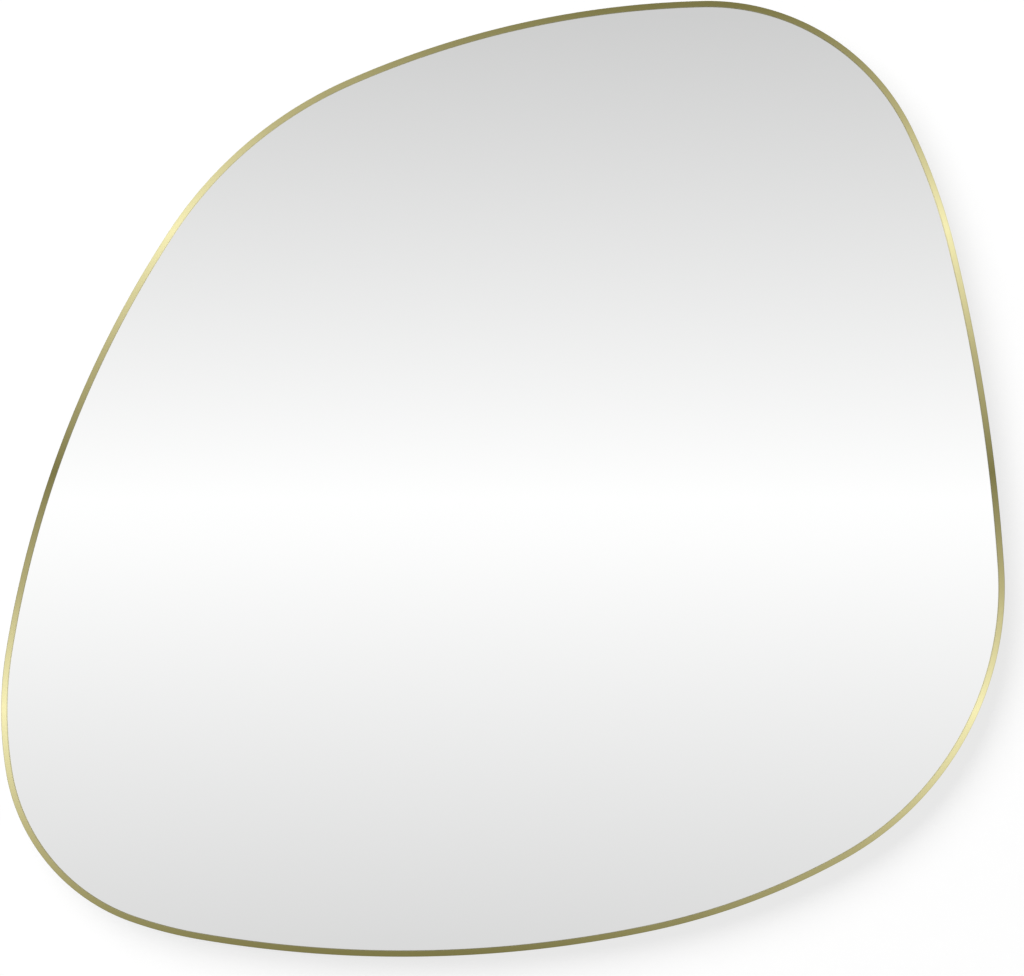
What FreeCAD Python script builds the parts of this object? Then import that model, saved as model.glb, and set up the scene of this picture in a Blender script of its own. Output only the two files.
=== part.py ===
"""Irregular wall mirror: a rounded, lopsided pane of mirror glass in a slim gold metal band.

The frame is one L-section band, roll-bent to the outline and welded shut, with a narrow lip
round the front. From the front it holds a foam gasket, the mirror glass with its safety film,
strips of bonding tape and a wood-fibre backing board. Tabs welded inside the band are folded
over the board and hold it with one screw each. Two folded straps on the board carry swinging
hanging rings, and rubber bumpers keep the band clear of the wall.

Frame of the model: X to the viewer's right, Z up, and Y from the viewer to the wall. The origin
lies on the wall, behind the middle of the mirror's overall width and height. Millimetres.
"""

import FreeCAD, Part
import math
import os
from collections import namedtuple

import Sketcher

PARTS_FOLDER = "parts"

# Driving dimensions: alias, value, meaning. Lengths in millimetres, angles in degrees.
DIMENSIONS = (
    ("overall_width", 840, "over the band"),
    ("overall_height", 800, "over the band"),
    # The outline, anticlockwise from the right-hand side. Each bend has a radius at the band's
    # outer face and an angle. The radii of the four long sides follow from the overall size.
    ("right_side_lean_angle", 3.8, "from upright, where the right side starts"),
    ("right_side_angle", 10, ""),
    ("right_shoulder_angle", 12, ""),
    ("right_shoulder_radius", 495, ""),
    ("top_right_corner_angle", 65.5, ""),
    ("top_right_corner_radius", 190, ""),
    ("top_side_angle", 22.5, ""),
    ("upper_left_bend_angle", 33, ""),
    ("upper_left_bend_radius", 345, ""),
    ("left_side_angle", 24, ""),
    ("left_foot_angle", 18.5, ""),
    ("left_foot_radius", 315, ""),
    ("lower_left_corner_angle", 61.5, ""),
    ("lower_left_corner_radius", 160, ""),
    ("bottom_heel_angle", 9.5, ""),
    ("bottom_heel_radius", 355, ""),
    ("bottom_side_angle", 21.5, ""),
    ("bottom_right_rise_angle", 17, ""),
    ("bottom_right_rise_radius", 585, ""),
    ("lower_right_corner_radius", 260, "its angle closes the full turn"),
    # Layers, from the wall to the front
    ("wall_clearance", 1, "wall to the band's rear edge"),
    ("rear_recess", 8.8, "band's rear edge to the back of the board"),
    ("board_thickness", 9, ""),
    ("tape_thickness", 1, ""),
    ("film_thickness", 0.2, ""),
    ("glass_thickness", 4, ""),
    ("gasket_thickness", 0.5, ""),
    ("lip_thickness", 1.5, ""),
    # Band and lip
    ("band_thickness", 1.5, "side wall"),
    ("lip_width", 5, "gold face seen from the front, side wall included"),
    ("band_edge_round", 0.6, "front outer edge"),
    ("lip_edge_round", 0.3, "front edge beside the glass"),
    # What lies in the band
    ("gasket_setback", 0.7, "behind the lip's edge, out of sight"),
    ("glass_gap", 0.5, "glass and gasket to the side wall"),
    ("glass_bevel", 0.4, "ground edges"),
    ("film_inset", 1.5, "behind the edge of the glass"),
    ("tape_width", 20, ""),
    ("tape_margin", 145, "overall width's end to the middle of the first strip"),
    ("tape_end_inset", 45, "from the band's outer face"),
    ("board_gap", 0.3, "board to the folds of the tabs"),
    # Tabs that hold the board
    ("tab_width", 16, ""),
    ("tab_thickness", 1, ""),
    ("tab_reach", 17, "over the board, from the band's outer face"),
    ("tab_leg", 5, "beside the board, from its back"),
    ("tab_weld_gap", 0.5, "tab to the curved band, filled by the weld"),
    ("tab_fold_radius", 0.5, "inside of the fold"),
    ("tab_corner_round", 3, ""),
    # Screws, all of one kind
    ("screw_diameter", 3.5, ""),
    ("screw_clearance", 0.1, "round the shank"),
    ("screw_head_diameter", 6.5, ""),
    ("screw_head_height", 2.2, ""),
    ("screw_head_round", 0.8, ""),
    ("screw_tip_cover", 1, "board left ahead of the point"),
    ("screw_point_length", 2.5, ""),
    ("pilot_spare", 0.3, "pilot hole beyond the point"),
    ("recess_span", 3.6, "cross recess, end to end"),
    ("recess_slot", 0.9, "cross recess, width of a slot"),
    ("recess_depth", 1.2, ""),
    # Hangers: a sheet strap folded round the straight leg of a wire ring
    ("hanger_spacing", 400, "centre to centre"),
    ("hanger_rise", 175, "hinge line above the middle of the height"),
    ("strap_sheet", 0.8, "sheet that is folded double"),
    ("strap_width", 13, ""),
    ("strap_fold_angle", 40, "at which the sheet slopes back to the board"),
    ("strap_end_round", 4, ""),
    ("fold_to_screw", 1.1, "fold to the upper screw's head"),
    ("screw_to_ring", 6.2, "upper screw's head to the ring's bow"),
    ("ring_to_screw", 2.2, "ring's bow to the lower screw's head"),
    ("screw_to_end", 3.8, "lower screw's head to the strap's end"),
    ("ring_wire_radius", 1.5, ""),
    ("ring_corner_radius", 3, "to the middle of the wire"),
    ("ring_side_gap", 1, "strap's edge to where the ring starts to bend"),
    ("ring_play", 0.08, "wire to the strap's eye"),
    ("ring_rest_gap", 0.1, "ring to the strap, as it hangs"),
    # Bumpers
    ("bumper_base_radius", 8, ""),
    ("bumper_tip_radius", 6, ""),
    ("bumper_tip_round", 1.5, ""),
    ("bumper_inset", 48, "from the band's outer face"),
)

# Layers in order from the wall to the front
STACK = (
    "wall_clearance",
    "rear_recess",
    "board_thickness",
    "tape_thickness",
    "film_thickness",
    "glass_thickness",
    "gasket_thickness",
    "lip_thickness",
)

# Bends of the outline in order. The long sides have no radius in the list above.
BENDS = (
    "right_side",
    "right_shoulder",
    "top_right_corner",
    "top_side",
    "upper_left_bend",
    "left_side",
    "left_foot",
    "lower_left_corner",
    "bottom_heel",
    "bottom_side",
    "bottom_right_rise",
    "lower_right_corner",
)
LONG_SIDES = ("right_side", "top_side", "left_side", "bottom_side")
CLOSING_BEND = "lower_right_corner"
TAB_BENDS = (
    "right_side",
    "top_right_corner",
    "top_side",
    "upper_left_bend",
    "left_side",
    "lower_left_corner",
    "bottom_side",
    "bottom_right_rise",
    "lower_right_corner",
)
BUMPER_BENDS = (
    "top_right_corner",
    "upper_left_bend",
    "lower_left_corner",
    "lower_right_corner",
)
TAPE_COUNT = 6

QUARTER_TURN = 90
HALF_TURN = 180
FULL_TURN = 360

# Every body is modelled lying down. UPRIGHT stands it up with its local Z towards the viewer,
# FACING_WALL with its local Z towards the wall and its local Y up.
UPRIGHT = FreeCAD.Rotation(FreeCAD.Vector(1, 0, 0), QUARTER_TURN)
FACING_WALL = FreeCAD.Rotation(FreeCAD.Vector(0, 0, 1), HALF_TURN) * UPRIGHT

# How a sketch numbers its two axes, its origin and the places on an element
ACROSS_AXIS_INDEX = -1
UP_AXIS_INDEX = -2
START_INDEX = 1
END_INDEX = 2
CENTRE_INDEX = 3
ORIGIN_INDEX = (ACROSS_AXIS_INDEX, START_INDEX)

Bend = namedtuple("Bend", "name centre radius heading sweep")

# Sizes that several pieces share, as expressions of the sheet
GLASS_INSET = "(dims.band_thickness + dims.glass_gap)"
# The board clears the tab that stands furthest off its wall, the one at the tightest bend.
BENT_RADII = "; ".join(f"dims.{name}_radius" for name in TAB_BENDS if name not in LONG_SIDES)
LARGEST_SAGITTA = f"(dims.tab_width ^ 2 / 8 / (min({BENT_RADII}) - dims.band_thickness))"
BOARD_INSET = (
    f"(dims.band_thickness + {LARGEST_SAGITTA} + dims.tab_weld_gap + dims.tab_thickness"
    " + dims.tab_fold_radius + dims.board_gap)"
)
TAB_HOLE_INSET = f"(({BOARD_INSET} + dims.tab_reach) / 2)"
SCREW_RADIUS = "(dims.screw_diameter / 2)"
HOLE_RADIUS = f"({SCREW_RADIUS} + dims.screw_clearance)"
HEAD_RADIUS = "(dims.screw_head_diameter / 2)"
STRAP_THICKNESS = "(2 * dims.strap_sheet)"
SCREW_GRIP = f"min(dims.tab_thickness; {STRAP_THICKNESS})"
SCREW_IN_BOARD = "(dims.board_thickness - dims.screw_tip_cover)"
EYE_RADIUS = "(dims.ring_wire_radius + dims.ring_play)"
BARREL_RADIUS = f"({EYE_RADIUS} + dims.strap_sheet)"
FOLD_SLOPE = "(dims.strap_fold_angle * 1 deg)"
FOLD_END = (
    f"({BARREL_RADIUS} * sin({FOLD_SLOPE})"
    f" + ({BARREL_RADIUS} * (1 + cos({FOLD_SLOPE})) - {STRAP_THICKNESS}) / tan({FOLD_SLOPE}))"
)
UPPER_SCREW_DROP = f"({FOLD_END} + dims.fold_to_screw + {HEAD_RADIUS})"
RING_DROP = f"({UPPER_SCREW_DROP} + {HEAD_RADIUS} + dims.screw_to_ring + dims.ring_wire_radius)"
LOWER_SCREW_DROP = f"({RING_DROP} + dims.ring_wire_radius + dims.ring_to_screw + {HEAD_RADIUS})"
STRAP_LENGTH = f"({LOWER_SCREW_DROP} + {HEAD_RADIUS} + dims.screw_to_end)"
RING_HALF_LEG = "(dims.strap_width / 2 + dims.ring_side_gap)"
RING_STAND_OFF = "(dims.strap_sheet + dims.ring_rest_gap - dims.ring_play)"
# The bow meets both corners without a kink and reaches down to the drop.
RING_BOW_RADIUS = (
    f"(({RING_HALF_LEG} ^ 2 + ({RING_DROP} - dims.ring_corner_radius) ^ 2"
    f" - dims.ring_corner_radius ^ 2) / 2 / ({RING_DROP} - 2 * dims.ring_corner_radius))"
)


class Mirror:
    """The document, its sheet of driving dimensions and the outline that every layer follows."""

    def __init__(self):
        self.doc = FreeCAD.newDocument("irregular_mirror")
        self.sheet = self.doc.addObject("Spreadsheet::Sheet", "dims")
        for row, (alias, value, meaning) in enumerate(DIMENSIONS, start=1):
            self.sheet.set(f"A{row}", alias)
            self.sheet.set(f"B{row}", str(value))
            self.sheet.setAlias(f"B{row}", alias)
            self.sheet.set(f"C{row}", meaning)
        self.doc.recompute()
        self.bends = outline_bends(self)
        self.outline = outline_sketch(self)
        self.screw_seats = []
        self.parts = []

    def size(self, expression):
        """Value of a driving dimension, or of an expression of them."""
        return value_of(self.sheet, expression)

    def bend(self, name):
        """The bend of that name."""
        return next(bend for bend in self.bends if bend.name == name)

    def body(self, name, rotation, base=FreeCAD.Vector()):
        """New empty body, placed as its finished piece is."""
        body = self.doc.addObject("PartDesign::Body", name)
        body.Label = name
        body.Placement = FreeCAD.Placement(base, rotation)
        return body

    def keep(self, part):
        """Lists a finished object as a sub-part of its own."""
        self.parts.append(part)
        return part


def value_of(owner, expression):
    """Value of an expression, as an object of the document reads it."""
    return float(owner.evalExpression(expression))


def above_wall(layer):
    """Expression for the distance from the wall to the rear face of a layer."""
    return "(" + " + ".join(f"dims.{name}" for name in STACK[: STACK.index(layer)]) + ")"


BOARD_BACK = above_wall("board_thickness")
BAND_DEPTH = "(" + " + ".join(f"dims.{name}" for name in STACK[1:]) + ")"


# ---------------------------------------------------------------- the outline


def arc_travel(start, end):
    """Sideways and upward travel on an arc of radius 1 while its heading turns start to end."""
    first, last = math.radians(start), math.radians(end)
    return math.sin(last) - math.sin(first), math.cos(first) - math.cos(last)


def travel_between(start, end, low, high):
    """The same, counting only the part of the arc whose heading lies between low and high."""
    sideways = upward = 0.0
    for turn in (-FULL_TURN, 0, FULL_TURN):
        first, last = max(start, low + turn), min(end, high + turn)
        if last > first:
            across, rise = arc_travel(first, last)
            sideways += across
            upward += rise
    return sideways, upward


def long_side_radii(mirror, headings, sweeps, radii):
    """Radii of the four long sides that close the outline at the overall width and height."""
    rows = [[0.0] * len(LONG_SIDES) for _ in range(4)]
    wanted = [0.0, 0.0, -mirror.size("overall_width"), mirror.size("overall_height")]
    for name in BENDS:
        start, end = headings[name], headings[name] + sweeps[name]
        across, rise = arc_travel(start, end)
        leftward = travel_between(start, end, QUARTER_TURN, QUARTER_TURN + HALF_TURN)[0]
        rising = travel_between(start, end, 0, HALF_TURN)[1]
        for row, share in enumerate((across, rise, leftward, rising)):
            if name in LONG_SIDES:
                rows[row][LONG_SIDES.index(name)] += share
            else:
                wanted[row] -= share * radii[name]
    inverse = FreeCAD.Matrix(*[share for row in rows for share in row]).inverse().A
    return {
        name: sum(inverse[4 * index + row] * wanted[row] for row in range(4))
        for index, name in enumerate(LONG_SIDES)
    }


def outline_bends(mirror):
    """The bends of the band's outer face, as arcs in the plane of X and Z."""
    sweeps = {n: mirror.size(n + "_angle") for n in BENDS if n != CLOSING_BEND}
    sweeps[CLOSING_BEND] = FULL_TURN - sum(sweeps.values())
    radii = {n: mirror.size(n + "_radius") for n in BENDS if n not in LONG_SIDES}
    headings = {}
    heading = QUARTER_TURN + mirror.size("right_side_lean_angle")
    for name in BENDS:
        headings[name] = heading
        heading += sweeps[name]
    radii.update(long_side_radii(mirror, headings, sweeps, radii))

    bends = []
    point = FreeCAD.Vector()
    for name in BENDS:
        centre = point - outward(headings[name]) * radii[name]
        bends.append(Bend(name, centre, radii[name], headings[name], sweeps[name]))
        point = centre + outward(headings[name] + sweeps[name]) * radii[name]
    rightmost = bend_at(bends, QUARTER_TURN)
    topmost = bend_at(bends, HALF_TURN)
    shift = FreeCAD.Vector(
        mirror.size("overall_width") / 2 - rightmost.centre.x - rightmost.radius,
        0,
        mirror.size("overall_height") / 2 - topmost.centre.z - topmost.radius,
    )
    return [bend._replace(centre=bend.centre + shift) for bend in bends]


def outward(heading):
    """Direction that points out of the outline where it is travelled with that heading."""
    angle = math.radians(heading - QUARTER_TURN)
    return FreeCAD.Vector(math.cos(angle), 0, math.sin(angle))


def bend_at(bends, heading):
    """The bend whose heading passes through the one given."""
    return next(b for b in bends if (heading - b.heading) % FULL_TURN <= b.sweep)


def middle(bend, inset):
    """Point halfway along a bend, inset from the band's outer face, and the way out from there."""
    way_out = outward(bend.heading + bend.sweep / 2)
    return bend.centre + way_out * (bend.radius - inset), way_out


def crossings(mirror, across, inset):
    """Lowest and highest point where an upright line meets the outline drawn in by inset."""
    heights = []
    for bend in mirror.bends:
        radius, offset = bend.radius - inset, across - bend.centre.x
        if abs(offset) > radius:
            continue
        for rise in (-math.sqrt(radius**2 - offset**2), math.sqrt(radius**2 - offset**2)):
            heading = math.degrees(math.atan2(rise, offset)) + QUARTER_TURN
            if (heading - bend.heading) % FULL_TURN <= bend.sweep:
                heights.append(bend.centre.z + rise)
    return min(heights), max(heights)


def outline_sketch(mirror):
    """Master sketch: tangent arcs inside a construction box of the overall size."""
    sketch = mirror.doc.addObject("Sketcher::SketchObject", "outline")
    sketch.Placement.Rotation = UPRIGHT
    for bend in mirror.bends:
        centre = (bend.centre.x, bend.centre.z)
        first, sweep = math.radians(bend.heading - QUARTER_TURN), math.radians(bend.sweep)
        add_arc(sketch, centre, bend.radius, first, sweep)
    for index in range(len(BENDS)):
        join_tangent(sketch, index, (index + 1) % len(BENDS))
    for index, bend in enumerate(mirror.bends):
        radius = sketch.addConstraint(Sketcher.Constraint("Radius", index, bend.radius))
        sketch.renameConstraint(radius, bend.name + "_radius")
        if bend.name in LONG_SIDES:
            sketch.setDriving(radius, False)
        else:
            sketch.setExpression(f"Constraints.{bend.name}_radius", f"dims.{bend.name}_radius")
        if bend.name != CLOSING_BEND:
            sweep = Sketcher.Constraint("Angle", index, math.radians(bend.sweep))
            tie(sketch, sweep, bend.name + "_angle", f"dims.{bend.name}_angle * 1 deg")
    add_lean(sketch, mirror)
    add_overall_box(sketch, mirror)
    return sketch


def add_lean(sketch, mirror):
    """Sets the direction in which the right-hand side starts, by a construction radius."""
    bend = mirror.bends[0]
    start = bend.centre + outward(bend.heading) * bend.radius
    line = add_line(sketch, (bend.centre.x, bend.centre.z), (start.x, start.z), True)
    sketch.addConstraint(Sketcher.Constraint("Coincident", line, START_INDEX, 0, CENTRE_INDEX))
    sketch.addConstraint(Sketcher.Constraint("Coincident", line, END_INDEX, 0, START_INDEX))
    lean = Sketcher.Constraint("Angle", line, math.radians(mirror.size("right_side_lean_angle")))
    tie(sketch, lean, "lean", "dims.right_side_lean_angle * 1 deg")


def add_overall_box(sketch, mirror):
    """Box of the overall size, centred on the origin, that four of the bends touch."""
    half_width = mirror.size("overall_width") / 2
    half_height = mirror.size("overall_height") / 2
    corners = [
        (half_width, -half_height),
        (half_width, half_height),
        (-half_width, half_height),
        (-half_width, -half_height),
    ]
    sides = [add_line(sketch, corners[i], corners[(i + 1) % 4], True) for i in range(4)]
    for index, side in enumerate(sides):
        join(sketch, side, sides[(index + 1) % 4])
        upright = index % 2 == 0
        sketch.addConstraint(Sketcher.Constraint("Vertical" if upright else "Horizontal", side))
        touching = mirror.bends.index(bend_at(mirror.bends, QUARTER_TURN * (index + 1)))
        sketch.addConstraint(Sketcher.Constraint("Tangent", touching, side))
    right, top = sides[:2]
    ends = (right, START_INDEX, top, END_INDEX)
    sketch.addConstraint(Sketcher.Constraint("Symmetric", *ends, *ORIGIN_INDEX))
    height = Sketcher.Constraint("DistanceY", right, START_INDEX, right, END_INDEX, 2 * half_height)
    tie(sketch, height, "height", "dims.overall_height")
    width = Sketcher.Constraint("DistanceX", top, END_INDEX, top, START_INDEX, 2 * half_width)
    tie(sketch, width, "width", "dims.overall_width")


# ---------------------------------------------------------------- sketching


def sketch_on(body, name, plane, height="0"):
    """Sketch on one of a body's own origin planes, raised by an expression."""
    sketch = body.newObject("Sketcher::SketchObject", name)
    origin_plane = next(f for f in body.Origin.OriginFeatures if f.Role == plane)
    sketch.AttachmentSupport = [(origin_plane, "")]
    sketch.MapMode = "FlatFace"
    sketch.setExpression("AttachmentOffset.Base.z", height)
    return sketch


def add_line(sketch, start, end, construction=False):
    """Straight line between two points of a sketch."""
    first, last = FreeCAD.Vector(*start), FreeCAD.Vector(*end)
    return sketch.addGeometry(Part.LineSegment(first, last), construction)


def add_arc(sketch, centre, radius, first, sweep):
    """Arc that starts at an angle, in radians, and sweeps anticlockwise."""
    circle = Part.Circle(FreeCAD.Vector(*centre), FreeCAD.Vector(0, 0, 1), radius)
    return sketch.addGeometry(Part.ArcOfCircle(circle, first, first + sweep), False)


def join(sketch, index, following):
    """Joins the end of one element to the start of the next."""
    ends = (index, END_INDEX, following, START_INDEX)
    sketch.addConstraint(Sketcher.Constraint("Coincident", *ends))


def join_tangent(sketch, index, following):
    """The same, with no kink."""
    sketch.addConstraint(Sketcher.Constraint("Tangent", index, END_INDEX, following, START_INDEX))


def tie(sketch, constraint, name, expression):
    """Adds a named dimension whose value comes from an expression."""
    sketch.renameConstraint(sketch.addConstraint(constraint), name)
    sketch.setExpression(f"Constraints.{name}", expression)


def pin_point(sketch, point, name, across, up):
    """Fixes a point of a sketch at two coordinates, given as expressions."""
    for kind, suffix, axis, expression in (
        ("DistanceX", "_across", UP_AXIS_INDEX, across),
        ("DistanceY", "_up", ACROSS_AXIS_INDEX, up),
    ):
        if expression == "0":
            sketch.addConstraint(Sketcher.Constraint("PointOnObject", *point, axis))
        else:
            distance = value_of(sketch, expression)
            constraint = Sketcher.Constraint(kind, *ORIGIN_INDEX, *point, distance)
            tie(sketch, constraint, name + suffix, expression)


def polygon(sketch, corners):
    """Closed run of straight lines through corners, each a pair of expressions."""
    points = [(value_of(sketch, across), value_of(sketch, up)) for across, up in corners]
    count = len(points)
    lines = [add_line(sketch, points[i], points[(i + 1) % count]) for i in range(count)]
    for index, (line, corner) in enumerate(zip(lines, corners)):
        join(sketch, line, lines[(index + 1) % count])
        pin_point(sketch, (line, START_INDEX), f"corner_{index + 1}", *corner)


def circle(sketch, name, across, up, radius):
    """Circle whose centre and radius are expressions."""
    place = FreeCAD.Vector(value_of(sketch, across), value_of(sketch, up))
    size = value_of(sketch, radius)
    index = sketch.addGeometry(Part.Circle(place, FreeCAD.Vector(0, 0, 1), size), False)
    pin_point(sketch, (index, CENTRE_INDEX), name, across, up)
    tie(sketch, Sketcher.Constraint("Radius", index, size), name + "_radius", radius)


# ---------------------------------------------------------------- features


def pad(body, profile, length, symmetric=False):
    """Pad along the profile's normal, or half to each side of it."""
    feature = body.newObject("PartDesign::Pad", profile.Name + "_pad")
    feature.Profile = profile
    feature.SideType = "Symmetric" if symmetric else "One side"
    feature.setExpression("Length", length)
    body.Document.recompute()
    return feature


def pocket(body, profile, depth=None, along_normal=True):
    """Pocket of the given depth, or right through, along the profile's normal or against it."""
    before = body.Shape.Volume
    feature = body.newObject("PartDesign::Pocket", profile.Name + "_pocket")
    feature.Profile = profile
    feature.Reversed = along_normal
    if depth is None:
        feature.Type = "ThroughAll"
    else:
        feature.setExpression("Length", depth)
    body.Document.recompute()
    if not body.Shape.Volume < before:
        raise RuntimeError(f"{feature.Name} cuts nothing")
    return feature


def revolve(body, profile):
    """Full revolution about the sketch's own upright axis."""
    feature = body.newObject("PartDesign::Revolution", profile.Name + "_revolution")
    feature.Profile = profile
    feature.ReferenceAxis = (profile, ["V_Axis"])
    feature.Angle = FULL_TURN
    body.Document.recompute()
    return feature


def round_edges(body, name, edges, radius):
    """Fillet on edges of the body as it stands."""
    base = body.Tip
    feature = body.newObject("PartDesign::Fillet", name)
    feature.Base = (base, edges)
    feature.setExpression("Radius", radius)
    body.Document.recompute()
    return feature


def edges_at(shape, *middles):
    """Names of the edges whose midpoints are the points given."""
    return [
        f"Edge{number}"
        for number, edge in enumerate(shape.Edges, start=1)
        if any(edge.CenterOfMass.isEqual(FreeCAD.Vector(*point), 0.001) for point in middles)
    ]


def edges_of(shape, wires):
    """Names of the edges that belong to the wires given."""
    return [
        f"Edge{number}"
        for number, edge in enumerate(shape.Edges, start=1)
        if any(edge.isSame(other) for wire in wires for other in wire.Edges)
    ]


def local_shape(body):
    """A body's shape in its own coordinates."""
    return body.Tip.Shape


def outline_inset(mirror, body, name, inset):
    """The outline drawn in by an expression, as a face in a body's own XY plane."""
    binder = body.newObject("PartDesign::SubShapeBinder", name)
    binder.Relative = False
    binder.Support = [(mirror.outline, "")]
    binder.setExpression("Offset", f"-({inset})")
    mirror.doc.recompute()
    return binder


def layer(mirror, name, inset, thickness):
    """Body that fills the outline, drawn in by inset, at its place in the stack."""
    body = mirror.body(name, UPRIGHT)
    body.setExpression("Placement.Base.y", "-" + above_wall(thickness))
    pad(body, outline_inset(mirror, body, name + "_outline", inset), f"dims.{thickness}")
    return body


# ---------------------------------------------------------------- the framed pane


def frame_band(mirror):
    """L-section band: a side wall as deep as the mirror, and a lip round its front."""
    body = mirror.body("frame_band", UPRIGHT)
    body.setExpression("Placement.Base.y", "-" + above_wall("rear_recess"))
    pad(body, outline_inset(mirror, body, "band_outline", "0"), BAND_DEPTH)
    inside = outline_inset(mirror, body, "band_inside", "dims.band_thickness")
    pocket(body, inside, f"{BAND_DEPTH} - dims.lip_thickness")
    opening = outline_inset(mirror, body, "lip_opening", "dims.lip_width")
    pocket(body, opening)
    front = front_face(local_shape(body))
    rim = edges_of(local_shape(body), [front.OuterWire])
    round_edges(body, "band_edge", rim, "dims.band_edge_round")
    front = front_face(local_shape(body))
    lip = [wire for wire in front.Wires if not wire.isSame(front.OuterWire)]
    round_edges(body, "lip_edge", edges_of(local_shape(body), lip), "dims.lip_edge_round")
    mirror.keep(body)


def front_face(shape):
    """The face that lies furthest forward in a body's own coordinates."""
    return max(shape.Faces, key=lambda face: face.CenterOfMass.z)


def rear_face(shape):
    """The face that lies furthest back in a body's own coordinates."""
    return min(shape.Faces, key=lambda face: face.CenterOfMass.z)


def glass_gasket(mirror):
    """Thin foam ring between the lip and the glass."""
    body = layer(mirror, "glass_gasket", GLASS_INSET, "gasket_thickness")
    inner = "dims.lip_width - dims.gasket_setback"
    pocket(body, outline_inset(mirror, body, "gasket_opening", inner))
    mirror.keep(body)


def mirror_glass(mirror):
    """Silvered glass with ground edges."""
    body = layer(mirror, "mirror_glass", GLASS_INSET, "glass_thickness")
    shape = local_shape(body)
    rims = [front_face(shape).OuterWire, rear_face(shape).OuterWire]
    base = body.Tip
    feature = body.newObject("PartDesign::Chamfer", "ground_edges")
    feature.Base = (base, edges_of(shape, rims))
    feature.setExpression("Size", "dims.glass_bevel")
    mirror.keep(body)


def safety_film(mirror):
    """Film over the silvering."""
    inset = f"{GLASS_INSET} + dims.film_inset"
    mirror.keep(layer(mirror, "safety_film", inset, "film_thickness"))


def bonding_tapes(mirror):
    """Upright strips of foam tape between the film and the board, each as long as fits."""
    first = mirror.size("tape_margin") - mirror.size("overall_width") / 2
    pitch = -2 * first / (TAPE_COUNT - 1)
    half = mirror.size("tape_width") / 2
    for number in range(TAPE_COUNT):
        across = first + number * pitch
        edges = [
            crossings(mirror, side, mirror.size("tape_end_inset"))
            for side in (across - half, across + half)
        ]
        low, high = max(edge[0] for edge in edges), min(edge[1] for edge in edges)
        body = mirror.body(f"bonding_tape_{number + 1}", UPRIGHT, FreeCAD.Vector(across, 0, low))
        body.setExpression("Placement.Base.y", "-" + above_wall("tape_thickness"))
        sketch = sketch_on(body, f"tape_{number + 1}_strip", "XY_Plane")
        left, right = "-dims.tape_width / 2", "dims.tape_width / 2"
        end = repr(high - low)
        polygon(sketch, [(left, "0"), (right, "0"), (right, end), (left, end)])
        pad(body, sketch, "dims.tape_thickness")
        mirror.keep(body)


def backing_board(mirror):
    """Board behind the glass, with a blind pilot hole at every screw."""
    body = layer(mirror, "backing_board", BOARD_INSET, "board_thickness")
    sketch = sketch_on(body, "pilot_holes", "XY_Plane")
    for number, (place, _) in enumerate(mirror.screw_seats, start=1):
        circle(sketch, f"pilot_{number}", repr(place.x), repr(place.z), HOLE_RADIUS)
    pocket(body, sketch, f"{SCREW_IN_BOARD} + dims.pilot_spare")
    mirror.keep(body)


# ---------------------------------------------------------------- fixings on the board


def frame_tab(mirror, bend_name):
    """Tab welded to the band at the middle of a bend and folded over the board's back.

    In its own frame X points in from the band's outer face, Y along the band and Z to the wall,
    from the back of the board. The flat tab stands off the curved band by the bend's sagitta.
    """
    bend = mirror.bend(bend_name)
    place, way_out = middle(bend, 0)
    turn = math.degrees(math.atan2(way_out.z, way_out.x))
    rotation = FreeCAD.Rotation(FreeCAD.Vector(0, 1, 0), -turn) * FACING_WALL
    body = mirror.body("tab_" + bend_name, rotation, place)
    body.setExpression("Placement.Base.y", "-" + BOARD_BACK)

    wall_radius = f"(outline.Constraints.{bend_name}_radius / 1 mm - dims.band_thickness)"
    sagitta = f"dims.tab_width ^ 2 / 8 / {wall_radius}"
    outer = f"(dims.band_thickness + {sagitta} + dims.tab_weld_gap)"
    inner = f"({outer} + dims.tab_thickness)"
    profile = sketch_on(body, f"{bend_name}_tab_profile", "XZ_Plane")
    polygon(
        profile,
        [
            (outer, "-dims.tab_leg"),
            (inner, "-dims.tab_leg"),
            (inner, "0"),
            ("dims.tab_reach", "0"),
            ("dims.tab_reach", "dims.tab_thickness"),
            (outer, "dims.tab_thickness"),
        ],
    )
    pad(body, profile, "dims.tab_width", symmetric=True)

    thickness, reach = mirror.size("tab_thickness"), mirror.size("tab_reach")
    fold = edges_at(local_shape(body), (mirror.size(inner), 0, 0))
    round_edges(body, f"{bend_name}_fold", fold, "dims.tab_fold_radius")
    back = edges_at(local_shape(body), (mirror.size(outer), 0, thickness))
    round_edges(body, f"{bend_name}_fold_back", back, "dims.tab_fold_radius + dims.tab_thickness")
    half = mirror.size("tab_width") / 2
    ends = edges_at(local_shape(body), *[(reach, s * half, thickness / 2) for s in (-1, 1)])
    round_edges(body, f"{bend_name}_tab_end", ends, "dims.tab_corner_round")

    hole = sketch_on(body, f"{bend_name}_tab_hole", "XY_Plane")
    circle(hole, "hole", TAB_HOLE_INSET, "0", HOLE_RADIUS)
    pocket(body, hole)
    mirror.keep(body)

    seat, _ = middle(bend, mirror.size(TAB_HOLE_INSET))
    mirror.screw_seats.append((seat, "dims.tab_thickness"))


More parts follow.
